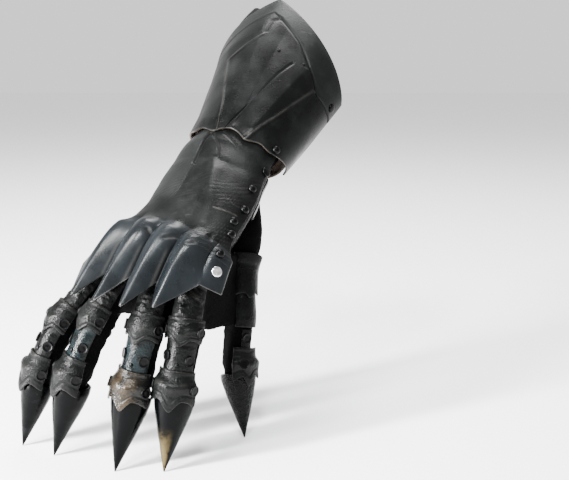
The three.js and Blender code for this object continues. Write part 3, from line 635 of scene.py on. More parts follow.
# Pale colour of the lames' rubbed edges and scratches, also of their painted highlights
DULL_RUB_AND_HIGHLIGHT = (0.019, 0.019, 0.017)
TEAL_DYE = (0.003, 0.0056, 0.0064)
BRONZE_DYE = (0.022, 0.0155, 0.009)
GOLD_DYE = (0.06, 0.045, 0.02)
PLATE = leather("plate_leather", *GREY, 0.37, 0.08, inside=RAW)
FEATHER = leather("feather_leather", *BLUE_GREY, 0.4, 0.2, grain=0.05, inside=RAW, polish=0.12)
LINING = leather("cuff_lining_leather", *GREY, 0.46, 0.06, inside=RAW)
LAME = leather("lame_leather", *LAMES, 0.38, 0.08, grain=0.35, rub_and_highlight_colour=DULL_RUB_AND_HIGHLIGHT, inside=RAW)
TEAL = leather("lame_leather_teal", *LAMES, 0.32, 0.1, grain=0.35, inside=RAW, tint=TEAL_DYE)
BRONZE = leather("lame_leather_bronze", *LAMES, 0.3, 0.14, grain=0.35, inside=RAW, tint=BRONZE_DYE)
GLOVE = leather("glove_leather", *SOFT_BLACK, 0.75, 0.02, grain=0.4, scratch=0.0)
CLAW = leather("claw_leather", *WAXED, 0.25, 0.045, grain=0.07, tint=GOLD_DYE, scratch=0.4, polish=0.08)
GRAINY = leather("grainy_claw_leather", *COARSE, 0.36, 0.08, grain=1.6, scratch=0.9)
BLACK = metal("black_lacquered_rivet", (0.0008, 0.0008, 0.001), 0.24, 0.0, 0.07)
CHROME = metal("chrome_rivet", (0.85, 0.85, 0.84), 0.12)

# Rivet heads, as (radius, height) rows, and how far the studs stand off what carries them
STUD_LIFT = 0.3
FEATHER_STUD_LIFT = 0.78
DISC_ROWS = [(0, -0.7), (3.4, -0.7), (3.5, 0.3), (3.45, 0.75), (3.2, 1.0)]
DISC_ROWS += [(2.95, 0.95), (2.7, 0.7), (1.4, 0.8), (0, 0.85)]
DOME_ROWS = [(0, -0.3), (2.8, -0.3), (2.95, 0.3), (2.8, 0.9)]
DOME_ROWS += [(2.35, 1.6), (1.5, 2.2), (0.6, 2.45), (0, 2.5)]
SMALL_ROWS = [(0, -0.6), (1.3, -0.6), (1.4, 0.2), (1.25, 0.5), (0.8, 0.75), (0, 0.85)]
FLAT_ROWS = [(0, -0.3), (3.3, -0.3), (3.45, 0.3), (3.35, 0.75), (3.0, 1.05), (1.8, 1.25), (0, 1.3)]
DISC = revolve(DISC_ROWS, 32)
DOME = revolve(DOME_ROWS, 28)
SMALL = revolve(SMALL_ROWS, 16)
FLAT = revolve(FLAT_ROWS, 32)


def outward(surface, u, v):
    e = 1e-3
    across = surface(u, v + e, 0.0) - surface(u, v - e, 0.0)
    down = surface(u + e, v, 0.0) - surface(u - e, v, 0.0)
    out = unit(np.cross(across, down))
    return out if np.dot(out, surface(u, v, 1.0) - surface(u, v, 0.0)) > 0 else -out


# Cuff
def cuff_point(along, angle, lift):
    out, high, shift = section(CUFF_SECTIONS, along, angle, lift, CUFF_WRIST_HALF, CUFF_WRIST_HALF)
    return stack(out - shift, along * CUFF_LENGTH, high)


def mouth_edge(angle, side):
    share = np.minimum(1, np.abs(angle) / math.radians(106))
    return 1 - (1 - side) * (1 - (1 - share) ** 1.8)


def wrist_edge(angle):
    a = np.abs(np.degrees(angle))
    arch = np.where(a < 18, 0.03 * np.cos(np.radians(np.minimum(a / 18, 1) * 90)), 0)
    sweep = 0.1 * smooth(26, 110, a) + 0.02 * np.sin(np.pi * smooth(18, 54, a))
    return CUFF_WRIST_EDGE / CUFF_LENGTH + arch + sweep


def outer_plate(u, v, lift):
    count = len(CUFF_FLUTES["wrist"]) - 1
    mix = lambda name: np.interp(v * count, np.arange(count + 1), CUFF_FLUTES[name])
    low, high = np.radians(mix("wrist")), np.radians(mix("mouth"))
    start, end = wrist_edge(low), mouth_edge(high, CUFF_SIDE_SHARE)
    along = start + u * (end - start)
    angle = low + (high - low) * u + math.radians(12) * (1 - u) + math.radians(-1) * u
    fade = smooth(0, 0.1, u) * (1 - smooth(0.72, 0.9, u))
    return cuff_point(along, angle, GAP + PLATE_THICK + lift + mix("out") * fade)


def inner_plate(u, v, lift):
    angle = (2 * v - 1) * math.radians(172)
    start = (CUFF_WRIST_EDGE + CUFF_INNER_RISE) / CUFF_LENGTH
    end = np.maximum(0.6, mouth_edge(angle + math.radians(26), 0.7))
    return cuff_point(start + u * (end - start), angle, lift)


# Moulding of the cuff: places up the plate and round it, with the width and height of the line. Raised lines
# are painted pale, as a highlight along them with some wear, and sunken lines are painted darker
CUFF_LINES = [
    ([(0.0, 0.335), (0.32, 0.308), (0.61, 0.309), (0.655, 0.368), (0.691, 0.42)], 1.2, 0.6),
    ([(0.0, 0.43), (0.06, 0.451), (0.297, 0.551), (0.677, 0.627)], 1.1, -0.7),
    ([(0.0, 0.704), (0.275, 0.737), (0.661, 0.779), (0.7, 0.8)], 1.1, 0.7),
    ([(0.86, 0.46), (0.834, 0.582), (0.762, 0.701), (0.685, 0.815), (0.745, 0.985)], 1.2, -0.8),
    ([(0.86, 0.46), (0.8, 0.43), (0.691, 0.42)], 1.2, -0.5),
]


def cuff_relief(u, v, base):
    long, wide = CUFF_FACE
    x, y = u * long, v * wide
    height = 0.45 * noise(base, 38, 11) + 0.2 * noise(base, 13, 12)
    dirt_and_shade, worn = 0.0, 0.0
    for line, width, high in CUFF_LINES:
        near = trace(x, y, [(a * long, b * wide) for a, b in line], width)
        height = height + high * near
        # Sunken lines are painted darker; raised lines are painted pale, as a highlight along them with some
        # wear
        if high < 0:
            dirt_and_shade = np.maximum(dirt_and_shade, -0.75 * high * near**2)
        else:
            worn = np.maximum(worn, 0.45 * near**3)
    mouth = np.interp(v, (0, 0.46, 0.582, 0.701, 0.815, 1), (0.9, 0.86, 0.834, 0.762, 0.685, 0.74))
    band = smooth(0.0, 0.012, u - mouth)
    tone = 0.35 * band + 0.25 * smooth(0.955, 0.97, u) + 0.2 * smooth(0.3, 0.6, noise(base, 30, 14))
    panel = smooth(0.02, 0.05, v - (0.43 + 0.3 * u)) * (1 - smooth(-0.01, 0.02, v - (0.7 + 0.12 * u)))
    panel = panel * (1 - band)
    return dict(height=height + 0.4 * band, dirt_and_shade=dirt_and_shade, worn=worn, tone=tone - 0.3 * panel, gloss=0.25)


def make_plate(name, material, slot, replaced, *plate):
    body = Body()
    shape, data = sheet(*plate)
    body.add(shape, **data)
    body.make(name, [material], [replaced])


def make_cuff():
    outer = lambda u, v, lift: outer_plate(u, v, CUFF_STEP + lift)
    plate = (outer, CUFF_FACE, CUFF_CELLS, PLATE_THICK, cuff_relief)
    make_plate("cuff_plate", PLATE, "plate_leather", "cuff_outer", *plate)
    plate = (inner_plate, LINING_FACE, LINING_CELLS, PLATE_THICK)
    make_plate("cuff_lining", LINING, "plate_leather", "cuff_inner", *plate)


# Back of the hand, running on into the feathers over the knuckles
def arched(place, name):
    """Heights between the lines run in arches, so that each feather is a broad dome."""
    values = KNUCKLE_LINES[name]
    i = np.clip(np.floor(place).astype(int), 0, len(values) - 2)
    a, b = values[i], values[i + 1]
    t = np.clip(np.where(a < b, place - i, 1 - (place - i)), 0, 1)
    return np.minimum(a, b) + np.abs(b - a) * np.sin(t * np.pi / 2) ** 0.85


def knuckle_surface(u, v, lift):
    count = len(KNUCKLE_LINES["top"]) - 1
    rows = dict(KNUCKLE_LINES, place=np.arange(count + 1.0))
    u, v = np.broadcast_arrays(np.asarray(u, float), v)
    place = v * count
    read = lambda name: column(rows, "place", name, place)
    straight = lambda name: np.interp(place, rows["place"], rows[name])
    x = smooth_path(u, read("across"), read("across"), straight("tip_across")) * PALM_HALF_WIDTH
    y = smooth_path(u, read("top"), read("brow"), straight("tip")) * HAND_LENGTH
    z = smooth_path(u, read("top_high"), arched(place, "brow_high"), straight("tip_high"))
    return stack(x, -y, z * WRIST_HALF_DEPTH + lift)


def smooth_path(t, a, b, c):
    """Eased run through a at 0, b at the brow and c at 1."""
    rest = 1 - BROW
    slopes = (b - a) / BROW, c - a, (c - b) / rest
    first = t < BROW
    span = np.where(first, BROW, rest)
    w = np.where(first, t / BROW, (t - BROW) / rest)
    p, q = np.where(first, a, b), np.where(first, b, c)
    leave, arrive = (np.where(first, slopes[k], slopes[k + 1]) * span for k in (0, 1))
    return eased(w, p, q, leave, arrive)


def wrist_flare(along, angle):
    most = FLARE_SIDE + FLARE_BACK * np.maximum(0, np.cos(angle)) ** 2
    return most * (1 - smooth(-0.02, 0.16, along))


def down_feathers(u):
    return np.clip((u - FEATHERS_RISE) / (1 - FEATHERS_RISE), 0, 1)


def hand_plate_surface(u, v, lift):
    along = PLATE_START + u * (PLATE_END - PLATE_START) / PLATE_END_SHARE
    angle = np.radians(PLATE_LOW + v * PLATE_SPREAD)
    spine = 1.3 * bump(np.degrees(angle), 14, 10) * smooth(0.1, 0.25, along)
    lift_here = SECOND + lift + spine + wrist_flare(along, angle)
    body = hand_point(np.minimum(along, PLATE_LAST), angle, lift_here)
    ends = knuckle_surface(down_feathers(u), v, lift)
    w = smooth(FEATHERS_RISE, FEATHERS_ALONE, u)[..., None]
    return body * (1 - w) + ends * w


# Tooled lines on the back of the hand: places along it and, in degrees, round it, then each line's width,
# height and darkness. The first is the slit beside the ulnar strip, painted dark as the shade in it; a
# negative darkness paints a line pale
HAND_LINES = [
    ([(-0.072, -11.3), (0.011, -12.9), (0.113, -16.2), (0.202, -16.1), (0.215, -13)], 0.75, -1.4, 1.0),
    ([(0.202, -16.1), (0.42, -14.5), (0.566, -19)], 0.5, -0.35, 0.5),
    ([(-0.072, -8.5), (0.047, 7.0), (0.13, 10.9)], 0.55, -0.5, 0.8),
    ([(-0.093, 2.3), (-0.045, 14.3), (0.007, 26.4)], 0.55, -0.5, 0.8),
    ([(0.58, 33), (0.56, 48), (0.545, 63.5)], 0.4, 0.2, -1.0),
    ([(0.44, 40), (0.47, 52), (0.46, 62)], 0.4, -0.3, 0.5),
]
# Slots where the feathers rise, on the knuckle end, dented and painted dark as the shade in them: place down
# it and round it
SHADOW_SLOTS = [
    ((0.34, 0.4), (0.36, 0.43)),
    ((0.4, 0.6), (0.3, 0.66)),
    ((0.38, 0.79), (0.36, 0.81)),
    ((0.12, 0.82), (0.16, 0.84)),
]
# The ridge down the middle of the hand, as HAND_LINES
SPINE = [(0.156, 6), (0.343, 15), (0.521, 24), (0.7, 34)]


def hand_relief(u, v, base):
    along = -base[..., 1] / HAND_LENGTH
    angle = PLATE_LOW + v * PLATE_SPREAD
    feather = smooth(FEATHERS_RISE, FEATHERS_ALONE, u)
    x, y = along * HAND_LENGTH, angle * DEGREE
    flat = lambda line: [(a * HAND_LENGTH, b * DEGREE) for a, b in line]
    height = 0.45 * noise(base, 26, 5) + 0.16 * noise(base, 9, 6) * (1 - feather)
    dirt_and_shade = worn = tone = np.zeros(u.shape)
    # Lines are dented and painted darker, the slit as the shade in it; a negative darkness paints a line
    # pale instead
    for line, width, high, grime_and_shade in HAND_LINES:
        near = trace(x, y, flat(line), width) * (1 - feather)
        height = height + high * near
        dirt_and_shade = np.maximum(dirt_and_shade, grime_and_shade * near)
        worn = np.maximum(worn, -grime_and_shade * near)
    spine = trace(x, y, flat(SPINE), 3.2)
    height = height + 0.7 * spine * (1 - feather)
    strip = (1 - smooth(-16, -13, angle)) * (1 - smooth(0.52, 0.62, along))
    height = height + 0.5 * strip
    tone = tone + 0.5 * strip + 0.3 * spine
    flow = x * 0.66 + y * 0.3 + 2.2 * noise(base, 19, 3) + 0.4 * noise(base, 6, 23)
    area = smooth(0, 4, angle - 14 - 34 * along) * smooth(0.3, 0.42, along) * (1 - smooth(0.9, 0.96, along))
    broken = smooth(-0.5, 0.1, noise(base * (0.6, 1.3, 1), 8, 13))
    groove = area * broken * np.maximum(0, np.cos(flow * np.pi)) ** 8
    patch = smooth(0.0, 0.35, noise(base * (0.7, 1.2, 1), 11, 15)) * (1 - area) * smooth(0.08, 0.2, along)
    drift = x * 0.55 + y * 0.3 + 1.5 * noise(base, 12, 16)
    left = patch * np.maximum(0, np.cos(drift * np.pi)) ** 8 * (1 - feather)
    height = height - 0.3 * groove - 0.16 * left
    dirt_and_shade = np.maximum(dirt_and_shade, 0.6 * groove + 0.3 * left)
    shift = np.maximum(0, np.cos((flow + 0.3) * np.pi)) ** 8
    worn = np.maximum(worn, 0.3 * area * broken * shift + 0.4 * left * smooth(0, 0.3, noise(base, 5, 24)))
    down = down_feathers(u)
    row = v * (len(KNUCKLE_LINES["top"]) - 1)
    # Painted shade: the valleys between the feathers are dented and painted dark, as the shade under the
    # overlapping edges, with pale rims beside them
    for k in (2, 4, 6):
        near = bump(row, k, 0.1) * smooth(0.3, 0.5, down)
        height = height - 0.5 * near
        dirt_and_shade = np.maximum(dirt_and_shade, near)
        rim = bump(row, k + 0.24, 0.06) + bump(row, k - 0.24, 0.06)
        worn = np.maximum(worn, 0.5 * rim * smooth(0.45, 0.6, down))
    long, wide = FEATHER_FACE
    # Painted shade in the slots under the feathers' upper ends
    for shadow_slot in SHADOW_SLOTS:
        near = trace(down * long, v * wide, [(a * long, b * wide) for a, b in shadow_slot], 1.5)
        height = height - 0.9 * near
        dirt_and_shade = np.maximum(dirt_and_shade, near)
    # Painted shade: the feather tips are painted darker
    shade = smooth(0.8, 1.0, down) * (1 - smooth(0.86, 0.9, v))
    tone = tone + 0.35 * feather - 0.3 * shade
    return dict(height=height, dirt_and_shade=dirt_and_shade, worn=worn, tone=tone, gloss=feather)


def lame_relief(u, v, base):
    height = 0.25 * noise(base, 11, 2) + 0.1 * noise(base, 4, 4)
    return dict(height=height, gloss=0.3, tone=0.2 * noise(base, 9, 7))


def make_hand():
    body = Body()
    shape, data = sheet(hand_plate_surface, HAND_FACE, HAND_CELLS, PLATE_THICK, hand_relief)
    body.add(shape, **data)
    feathers = data["gloss"][shape[1]].mean(axis=1) > 0.5
    body.slots[-1] = feathers.astype(int)
    body.make("hand_shell", [PLATE, FEATHER], ["hand_plate"])
    lames = [
        ("ulnar_side_lame", -104, -48, -0.19, 0.8, 0.06),
        ("thumb_side_lame", 70, 93, 0.0, 0.78, 0.07),
        ("palm_side_lame", 96, 112, 0.0, 0.4, 0.05),
    ]
    for name, low, high, start, end, rounding in lames:

        def surface(u, v, lift):
            stop = end - rounding * (2 * v - 1) ** 2
            along, angle = start + u * (stop - start), np.radians(low + v * (high - low))
            return hand_point(along, angle, HAND_GAP + lift + wrist_flare(along, angle))

        size = ((end - start) * HAND_LENGTH, (high - low) * 0.6)
        plate = (surface, size, (90, 30), LAME_THICK, lame_relief)
        make_plate(name + "_form", LAME, "lame_leather", name, *plate)

    def strap(u, v, lift):
        return hand_point(-0.07 + u * 0.13, np.radians(118 + v * 134), HAND_GAP + lift)

    plate = (strap, (12.6, 80), (16, 80), LAME_THICK, lame_relief)
    make_plate("wrist_strap_form", LAME, "lame_leather", "wrist_strap", *plate)


def set_stud(name, kind, at, out):
    body = Body()
    body.add(place(kind, at, out))
    material, slot = (CHROME, "chrome_stud") if name == "knuckle_stud" else (BLACK, "black_metal")
    body.make(name + "_head", [material], [name])


def set_studs(surface, studs):
    for name, u, v, kind in studs:
        set_stud(name, kind, surface(u, v, STUD_LIFT), outward(surface, u, v))


def on_hand(top):
    return lambda u, v, lift: hand_point(u, v, top + lift + wrist_flare(u, v))


def make_studs():
    """Studs, each with its place along and round what carries it."""
    degrees = math.radians
    hand = [
        ("hand_stud_1", 0.262, degrees(63), DOME),
        ("hand_stud_2", 0.456, degrees(67), DOME),
        ("hand_stud_3", 0.597, degrees(62), DOME),
        ("hand_stud_4", 0.69, degrees(70), DOME),
        ("wrist_stud", 0.03, degrees(74), FLAT),
    ]
    ulnar = [("ulnar_stud_1", 0.02, degrees(-72), DOME), ("ulnar_stud_2", 0.33, degrees(-74), DOME)]
    cuff = [
        ("cuff_stud_1", 0.045, 0.815, DOME),
        ("cuff_stud_2", 0.8, 0.93, FLAT),
        ("cuff_stud_3", 0.73, 0.67, SMALL),
        ("cuff_stud_4", 0.66, 0.52, SMALL),
    ]
    set_studs(on_hand(SECOND + PLATE_THICK), hand)
    set_studs(on_hand(HAND_GAP + LAME_THICK), ulnar)
    set_studs(lambda u, v, lift: outer_plate(u, v, CUFF_STEP + PLATE_THICK + lift), cuff)
    feather = lambda u, v, lift: knuckle_surface(u, v, PLATE_THICK + lift)
    for name, down, across, kind in [("hand_stud_5", 0.3, 0.945, DOME), ("knuckle_stud", 0.66, 0.96, FLAT)]:
        out = outward(feather, down, across)
        set_stud(name, kind, feather(down, across, 0.0) + out * FEATHER_STUD_LIFT, out)


# Fingers
def layer_lift(finger, layer, joint, angle):
    second = 2 * GAP + LAME_THICK
    if layer == 0:
        return GAP + 0.1 + 0 * joint
    dome = np.maximum(0, np.cos(angle))
    if layer == 1:
        return second + 1.3 * dome * bump(joint, 0.98, 0.13)
    size = FINGER_HALF * finger["thick"]
    reach = finger["lengths"][2] * HAND_LENGTH
    radius, length = finger["claw"]
    share = ((joint - 2) * reach - (reach - length)) / length
    taper = column(CLAW_PROFILE, "along", "radius", share)
    inside = size * column(FINGER_SECTIONS, "joint", "side", joint)
    claw = radius * taper + (3 if "root" in finger else 2.7) * GAP - inside
    ridge = 1.1 * dome * bump(joint, 1.96, 0.1)
    return second + (claw - second) * smooth(1.76, 1.96, joint) + ridge


FINGER_PLATES = [
    ("proximal_plate", 0.26, 0.92, 66, 0.06, 0, []),
    ("knuckle_cap", 0.78, 1.1, 73, 0.13, 1, [(0.97, -56, DISC), (0.97, 56, DISC)]),
    ("middle_plate", 1.04, 1.78, 66, 0.05, 0, [(1.42, -44, DISC), (1.46, 44, DISC), (1.56, 4, SMALL)]),
    ("tip_cap", 1.66, 2.14, 72, 0.14, 2, [(1.95, -60, DISC), (1.97, 58, DISC)]),
]
THUMB_PLATES = [
    ("root_plate", -0.2, 0.5, 52, 0.1, 1, []),
    ("long_plate", 0.36, 1.18, 50, 0.0, 0, []),
    ("strap", 1.22, 1.72, 22, 0.0, 0, [(1.4, -4, DISC)]),
    ("tip_cap", 1.6, 2.16, 48, 0.14, 2, [(1.94, -16, DISC)]),
]


LAME_TINTS = {
    ("ring", "middle_plate"): TEAL,
    ("middle", "middle_plate"): TEAL,
    ("middle", "tip_cap"): BRONZE,
}


def plate_relief(part, u, v, base):
    """Dents of a finger plate: wrinkles, a ridge over the joint, a second edge before the first."""
    height = 0.13 * noise(base, 7, 2) + 0.08 * noise(base, 2.6, 4)
    tone = 0.25 * noise(base, 6, 9)
    dirt_and_shade = worn = np.zeros(u.shape)
    if part == "proximal_plate":
        fold = noise(base * (1, 2.2, 1.6), 6, 21) + 0.6 * noise(base * (1, 2, 1.5), 2.8, 22)
        height = height + 0.45 * fold
        # Darker in the hollows of the folds, paler on their crests
        dirt_and_shade = np.clip(-0.9 * fold - 0.1, 0, 0.8)
        worn = np.clip(0.6 * fold - 0.35, 0, 0.3)
    elif "cap" in part:
        # A cap is painted darker in its two grooves. The pale line along its ridge is a painted highlight
        # with some wear, and its paler middle is a painted highlight on the dome
        height = height + 0.5 * bump(u, 0.52, 0.1) - 0.4 * bump(u, 0.8, 0.03) - 0.25 * bump(u, 0.14, 0.05)
        dirt_and_shade = 0.75 * bump(u, 0.8, 0.035) + 0.5 * bump(u, 0.14, 0.05)
        worn = 0.4 * bump(u, 0.52, 0.06) * smooth(-0.1, 0.4, noise(base, 5, 25))
        tone = tone + 0.3 * bump(u, 0.5, 0.25)
    else:
        height = height - 0.3 * bump(u, 0.2, 0.05)
        # Painted shade: the plate's ends, where the caps overlap it, are painted darker
        dirt_and_shade = 0.85 * (1 - smooth(0.05, 0.3, u)) + 0.4 * smooth(0.8, 1, u)
    # Every plate is darker towards both its sides round the finger
    sides = smooth(0.55, 1, np.abs(2 * v - 1))
    stain = bump(v, 0.5, 0.22) if "cap" in part else 1.0
    dirt_and_shade = np.maximum(dirt_and_shade, 0.35 * sides)
    return dict(height=height, dirt_and_shade=dirt_and_shade, worn=worn, tone=tone, gloss=0.4, stain=stain)


def make_finger(name, finger):
    plates = THUMB_PLATES if name == "thumb" else FINGER_PLATES
    for part, start, end, spread, tongue, layer, rivets in plates:

        def surface(u, v, lift):
            angle = (2 * v - 1) * math.radians(spread)
            share = np.abs(2 * v - 1)
            point = tongue * (1 - smooth(0.0, 0.42, share)) + tongue * 0.35 * smooth(0.5, 1, share)
            joint = start + u * (end + point - start)
            return finger_point(finger, joint, angle, layer_lift(finger, layer, joint, angle) + lift)

        def rivet_surface(u, v, lift):
            top = layer_lift(finger, layer, u, v) + LAME_THICK
            return finger_point(finger, u, v, top + lift)

        relief = lambda u, v, base: plate_relief(part, u, v, base)
        body = Body()
        bone = finger["lengths"][int(end)] * HAND_LENGTH
        wide = FINGER_HALF * 1.2 * 2 * math.radians(spread)
        shape, data = sheet(surface, ((end - start) * bone, wide), FINGER_CELLS, LAME_THICK, relief)
        body.add(shape, **data)
        for joint, angle, kind in rivets:
            angle = math.radians(angle)
            at, out = rivet_surface(joint, angle, 0.0), outward(rivet_surface, joint, angle)
            body.add(place(kind, at, out), 1)
        skin = LAME_TINTS.get((name, part), LAME)
        body.make(f"{name}_{part}_form", [skin, BLACK], [f"{name}_{part}"])
    make_claw(name, finger)


# The side of the index claw that bears the gold patina, left of the front
PATINA_SIDE = STAND.T @ np.array([-0.35, -0.94, 0.0])


def make_claw(name, finger):
    radius, length = finger["claw"]
    tip = finger["line"]["point"][-1]
    start = finger_frame(finger, 2.0)[0]
    along = unit(tip - start)
    base = tip - along * length
    back = unit(finger["back_way"] - along * np.dot(along, finger["back_way"]))
    side = np.cross(back, along)
    share = np.concatenate([[0, 0.004, 0.01, 0.02], np.linspace(0.035, 0.97, 60), [0.985, 0.995, 1.0]])
    outer = column(CLAW_PROFILE, "along", "radius", share) * radius
    outer[:4] -= CLAW_WALL * np.array([0.5, 0.2, 0.07, 0.0])
    outer[-1] = 0.0
    inner_share = np.linspace(0.6, 0.0, 14)
    inner = np.maximum(0.3, column(CLAW_PROFILE, "along", "radius", inner_share) * radius - CLAW_WALL)
    inner[0] = 0.0
    run = np.concatenate([inner_share, share])
    wide = np.concatenate([inner, outer])
    angle = np.linspace(0, 2 * np.pi, 56, endpoint=False)
    ring = side * np.sin(angle)[:, None] + back * np.cos(angle)[:, None]
    points = base + along * (run * length)[:, None, None] + ring[None] * wide[:, None, None]
    rough = 0.16 * noise(points, 6, 8) + 0.06 * noise(points, 2.2, 9)
    points = points + ring[None] * (rough * smooth(0, 3, wide)[:, None])[..., None]
    body = Body()
    front = unit(PATINA_SIDE - along * np.dot(along, PATINA_SIDE))
    patina = smooth(0.6, 1.0, ring @ front) * (name == "index")
    stain = (smooth(0.4, 0.75, run)[:, None] * patina).ravel()
    depth = np.repeat(np.concatenate([np.ones(len(inner)), np.zeros(len(outer))]), len(angle))
    worn = np.repeat(np.concatenate([np.zeros(len(inner)), smooth(0.93, 1.0, share)]), len(angle))
    tone = (0.1 * noise(points * (1, 0.35, 1), 5, 17) - 0.4).ravel()
    shape = orient(points.reshape(-1, 3), ring_faces(len(run), len(angle)))
    body.add(shape, worn=worn, depth=depth, stain=stain, tone=tone, gloss=0.4)
    body.make(name + "_claw_form", [GRAINY if name == "thumb" else CLAW], [name + "_claw"])


# Glove: one soft skin over the hand and fingers
def tube(surface, rows, columns, start, end):
    u = np.linspace(start, end, rows)
    angle = np.linspace(0, 2 * np.pi, columns, endpoint=False)
    U, A = np.meshgrid(u, angle, indexing="ij")
    points = surface(U, A)
    hubs = points[[0, -1]].mean(axis=1)
    points = points.reshape(-1, 3)
    hub = len(points)
    last = (rows - 1) * columns
    pairs = [(k, (k + 1) % columns) for k in range(columns)]
    near = [(b, a, hub) for a, b in pairs]
    far = [(last + a, last + b, hub + 1) for a, b in pairs]
    return np.vstack([points, hubs]), ring_faces(rows, columns).tolist() + near + far


def web():
    """The web between the palm and the thumb, drawn on down the index finger nearly to its middle joint as a
    dark sheet in the shaded gap there.
    """
    thumb = FINGERS["thumb"]
    index = FINGERS["index"]
    palm_side = [hand_point(0.7, math.radians(124), -1), hand_point(0.95, math.radians(118), -1)]
    index_side = [finger_point(index, joint, math.radians(125), -1) for joint in (0.2, 0.95)]
    anchors = np.array(palm_side + index_side)

    def surface(u, v, lift):
        palm = stack(*(np.interp(v * 3, np.arange(4), anchors[:, k]) for k in range(3)))
        side = finger_point(thumb, -0.2 + 1.35 * v, math.radians(-66) + 0 * u, -1)
        sag = 3 * np.sin(u * np.pi) * (1 - v)
        return palm + (side - palm) * u[..., None] + stack(lift + sag, 0 * u, 0 * u)

    return panel(surface)


def panel(surface):
    """A soft sheet, as points and lists of corners."""
    points, faces = sheet(surface, (30, 30), (12, 12), WEB_THICK)[0]
    return points, faces.tolist()


def shade_filling_gusset(near, far, reach):
    """A strip of glove between two fingers, from their roots nearly to the middle joint: a dark sheet put in
    the shaded gap there.
    """

    def surface(u, v, lift):
        joint = -0.15 + (reach + 0.15) * v
        a = finger_point(near, joint, math.radians(-105) + 0 * u, -1)
        b = finger_point(far, joint, math.radians(105) + 0 * u, -1)
        return a + (b - a) * u[..., None] + stack(0 * u, 0 * u, lift + 0 * u)

    return panel(surface)


def slack(joint, angle):
    """The loose leather of the palm side of a finger, clear of the plates on its back."""
    return 1.5 * smooth(-0.1, -0.6, np.cos(angle)) * smooth(0.15, 0.4, joint) * (1 - smooth(1.8, 2.1, joint))


def vertex_rows(mesh, name):
    values = np.zeros(len(mesh.vertices) * 3)
    mesh.vertices.foreach_get(name, values)
    return values.reshape(-1, 3)


def make_glove():
    parts = [tube(hand_point, 60, 72, HAND_SECTIONS["along"][0], 1.0)]
    for name, finger in FINGERS.items():
        surface = lambda joint, angle, f=finger: finger_point(f, joint, angle, slack(joint, angle))
        parts.append(tube(surface, 60, 36, -0.93 if name == "thumb" else -0.28, 2.52))
    parts.append(web())
    for near, far, reach in (("index", "middle", 0.95), ("middle", "ring", 0.8), ("ring", "pinky", 0.95)):
        parts.append(shade_filling_gusset(FINGERS[near], FINGERS[far], reach))
    points, faces, count = [], [], 0
    for p, f in parts:
        points.append(p)
        faces += [tuple(k + count for k in face) for face in f]
        count += len(p)
    rough = bpy.data.meshes.new("glove_rough")
    rough.from_pydata(np.vstack(points).tolist(), [], faces)
    holder = new_object("glove_rough", rough)
    remesh = holder.modifiers.new("remesh", "REMESH")
    remesh.mode = "VOXEL"
    remesh.voxel_size = GLOVE_CELL
    bpy.context.view_layer.update()
    made = bpy.data.meshes.new_from_object(holder.evaluated_get(bpy.context.evaluated_depsgraph_get()))
    bpy.data.objects.remove(holder)
    co = vertex_rows(made, "co")
    co = co + vertex_rows(made, "normal") * glove_wrinkles(co)[:, None]
    made.vertices.foreach_set("co", (co @ STAND.T * 0.001).ravel())
    made.name = "glove"
    glove = new_object("glove", made)
    made.shade_smooth()
    open_sleeve(made)
    made.materials.clear()
    made.materials.append(GLOVE)
    wall = glove.modifiers.new("wall", "SOLIDIFY")
    wall.thickness = GLOVE_WALL * 0.001
    wall.offset = -1
    pieces = ["wrist_back", "wrist_palm", "back", "palm", "thumb_web", *FINGERS]
    publish(glove, ["glove_" + piece for piece in pieces])


def open_sleeve(mesh):
    """Takes the closed end of the sleeve away, so that the hand goes in."""
    work = bmesh.new()
    work.from_mesh(mesh)
    limit = -HAND_SECTIONS["along"][0] * HAND_LENGTH - 1.0
    up = STAND[:, 1]
    ends = [f for f in work.faces if np.dot(f.calc_center_median(), up) * 1000 > limit]
    bmesh.ops.delete(work, geom=ends, context="FACES")
    work.to_mesh(mesh)
    work.free()


def glove_wrinkles(co):
    """Creases round the finger joints and slack folds in the palm."""
    total = 0.4 * noise(co, 9, 1) + 0.14 * noise(co, 3.5, 2)
    best = np.full(len(co), 1e9)
    rings = np.zeros(len(co))
    for name, finger in FINGERS.items():
        samples = np.linspace(-0.2 if name != "thumb" else -0.9, 2.5, 130)
        middle, _, back, _ = finger_frame(finger, samples)
        gap = np.linalg.norm(co[:, None, :] - middle[None], axis=-1)
        k = gap.argmin(axis=1)
        near = gap[np.arange(len(co)), k]
        joint = samples[k]
        palm = -np.sum((co - middle[k]) * back[k], axis=-1) / FINGER_HALF
        fold = np.sin(joint * 24 + 5 * noise(co, 9, 4)) * smooth(0.35, 0.95, palm)
        close = bump(joint, 1.0, 0.35) + bump(joint, 2.0, 0.3) + 0.5 * bump(joint, 0.1, 0.3)
        use = near < best
        rings = np.where(use, 0.5 * fold * (0.3 + close) * (near < 15), rings)
        best = np.minimum(best, near)
    return total + rings


make_glove()
make_cuff()
make_hand()
make_studs()
for key, one in FINGERS.items():
    make_finger(key, one)


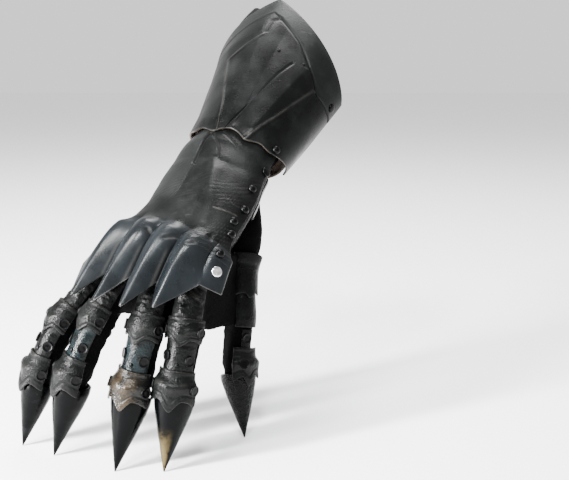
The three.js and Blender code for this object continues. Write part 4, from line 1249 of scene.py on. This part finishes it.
# Floor, lights and camera. The camera's focal length is in pixels of a picture of that width.
FLOOR_HALF = 6.0
PICTURE_WIDTH = 569
FOCAL_PIXELS = 850
SENSOR = 36
CAMERA_AT = (0.0405, -0.6071, 0.0777)
CAMERA_DOWN = 12


def make_floor():
    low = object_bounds()[0].z
    mesh = bpy.data.meshes.new("floor")
    s = FLOOR_HALF
    mesh.from_pydata([(-s, -s, low), (s, -s, low), (s, s, low), (-s, s, low)], [], [(0, 1, 2, 3)])
    material = bpy.data.materials.new("pale_floor")
    material.use_nodes = True
    shader = material.node_tree.nodes["Principled BSDF"]
    shader.inputs["Base Color"].default_value = (0.93, 0.93, 0.93, 1)
    shader.inputs["Roughness"].default_value = 0.7
    mesh.materials.append(material)
    new_object("floor", mesh)


def add_light(name, where, towards, size, power, colour=(1, 1, 1)):
    data = bpy.data.lights.new(name, "AREA")
    data.shape = "RECTANGLE"
    data.size, data.size_y = size
    data.energy = power
    data.color = colour
    light = new_object(name, data)
    light.location = where
    light.rotation_euler = (Vector(towards) - Vector(where)).to_track_quat("-Z", "Y").to_euler()


def make_stage():
    make_floor()
    world = bpy.data.worlds.new("studio")
    bpy.context.scene.world = world
    world.use_nodes = True
    sky = world.node_tree.nodes["Background"].inputs
    sky["Color"].default_value = (1, 1, 1, 1)
    sky["Strength"].default_value = 1.15
    add_light("key", (-0.55, -0.55, 1.1), (0, 0, 0), (0.35, 0.35), 34, (1.0, 1.0, 0.97))
    add_light("left", (-0.9, -0.55, 0.2), (-0.05, -0.1, -0.1), (0.08, 0.8), 120)
    add_light("front", (-0.05, -0.65, 1.0), (0, -0.1, -0.05), (0.2, 0.14), 16, (0.94, 0.98, 1.0))
    add_light("top", (0.1, 0.6, 1.2), (0, 0, 0), (0.7, 0.4), 24)
    data = bpy.data.cameras.new("camera")
    data.lens = FOCAL_PIXELS / PICTURE_WIDTH * SENSOR
    data.sensor_width = SENSOR
    data.clip_start = 0.02
    camera = new_object("camera", data)
    camera.location = CAMERA_AT
    camera.rotation_euler = (math.radians(90 - CAMERA_DOWN), 0, 0)
    bpy.context.scene.camera = camera


make_stage()
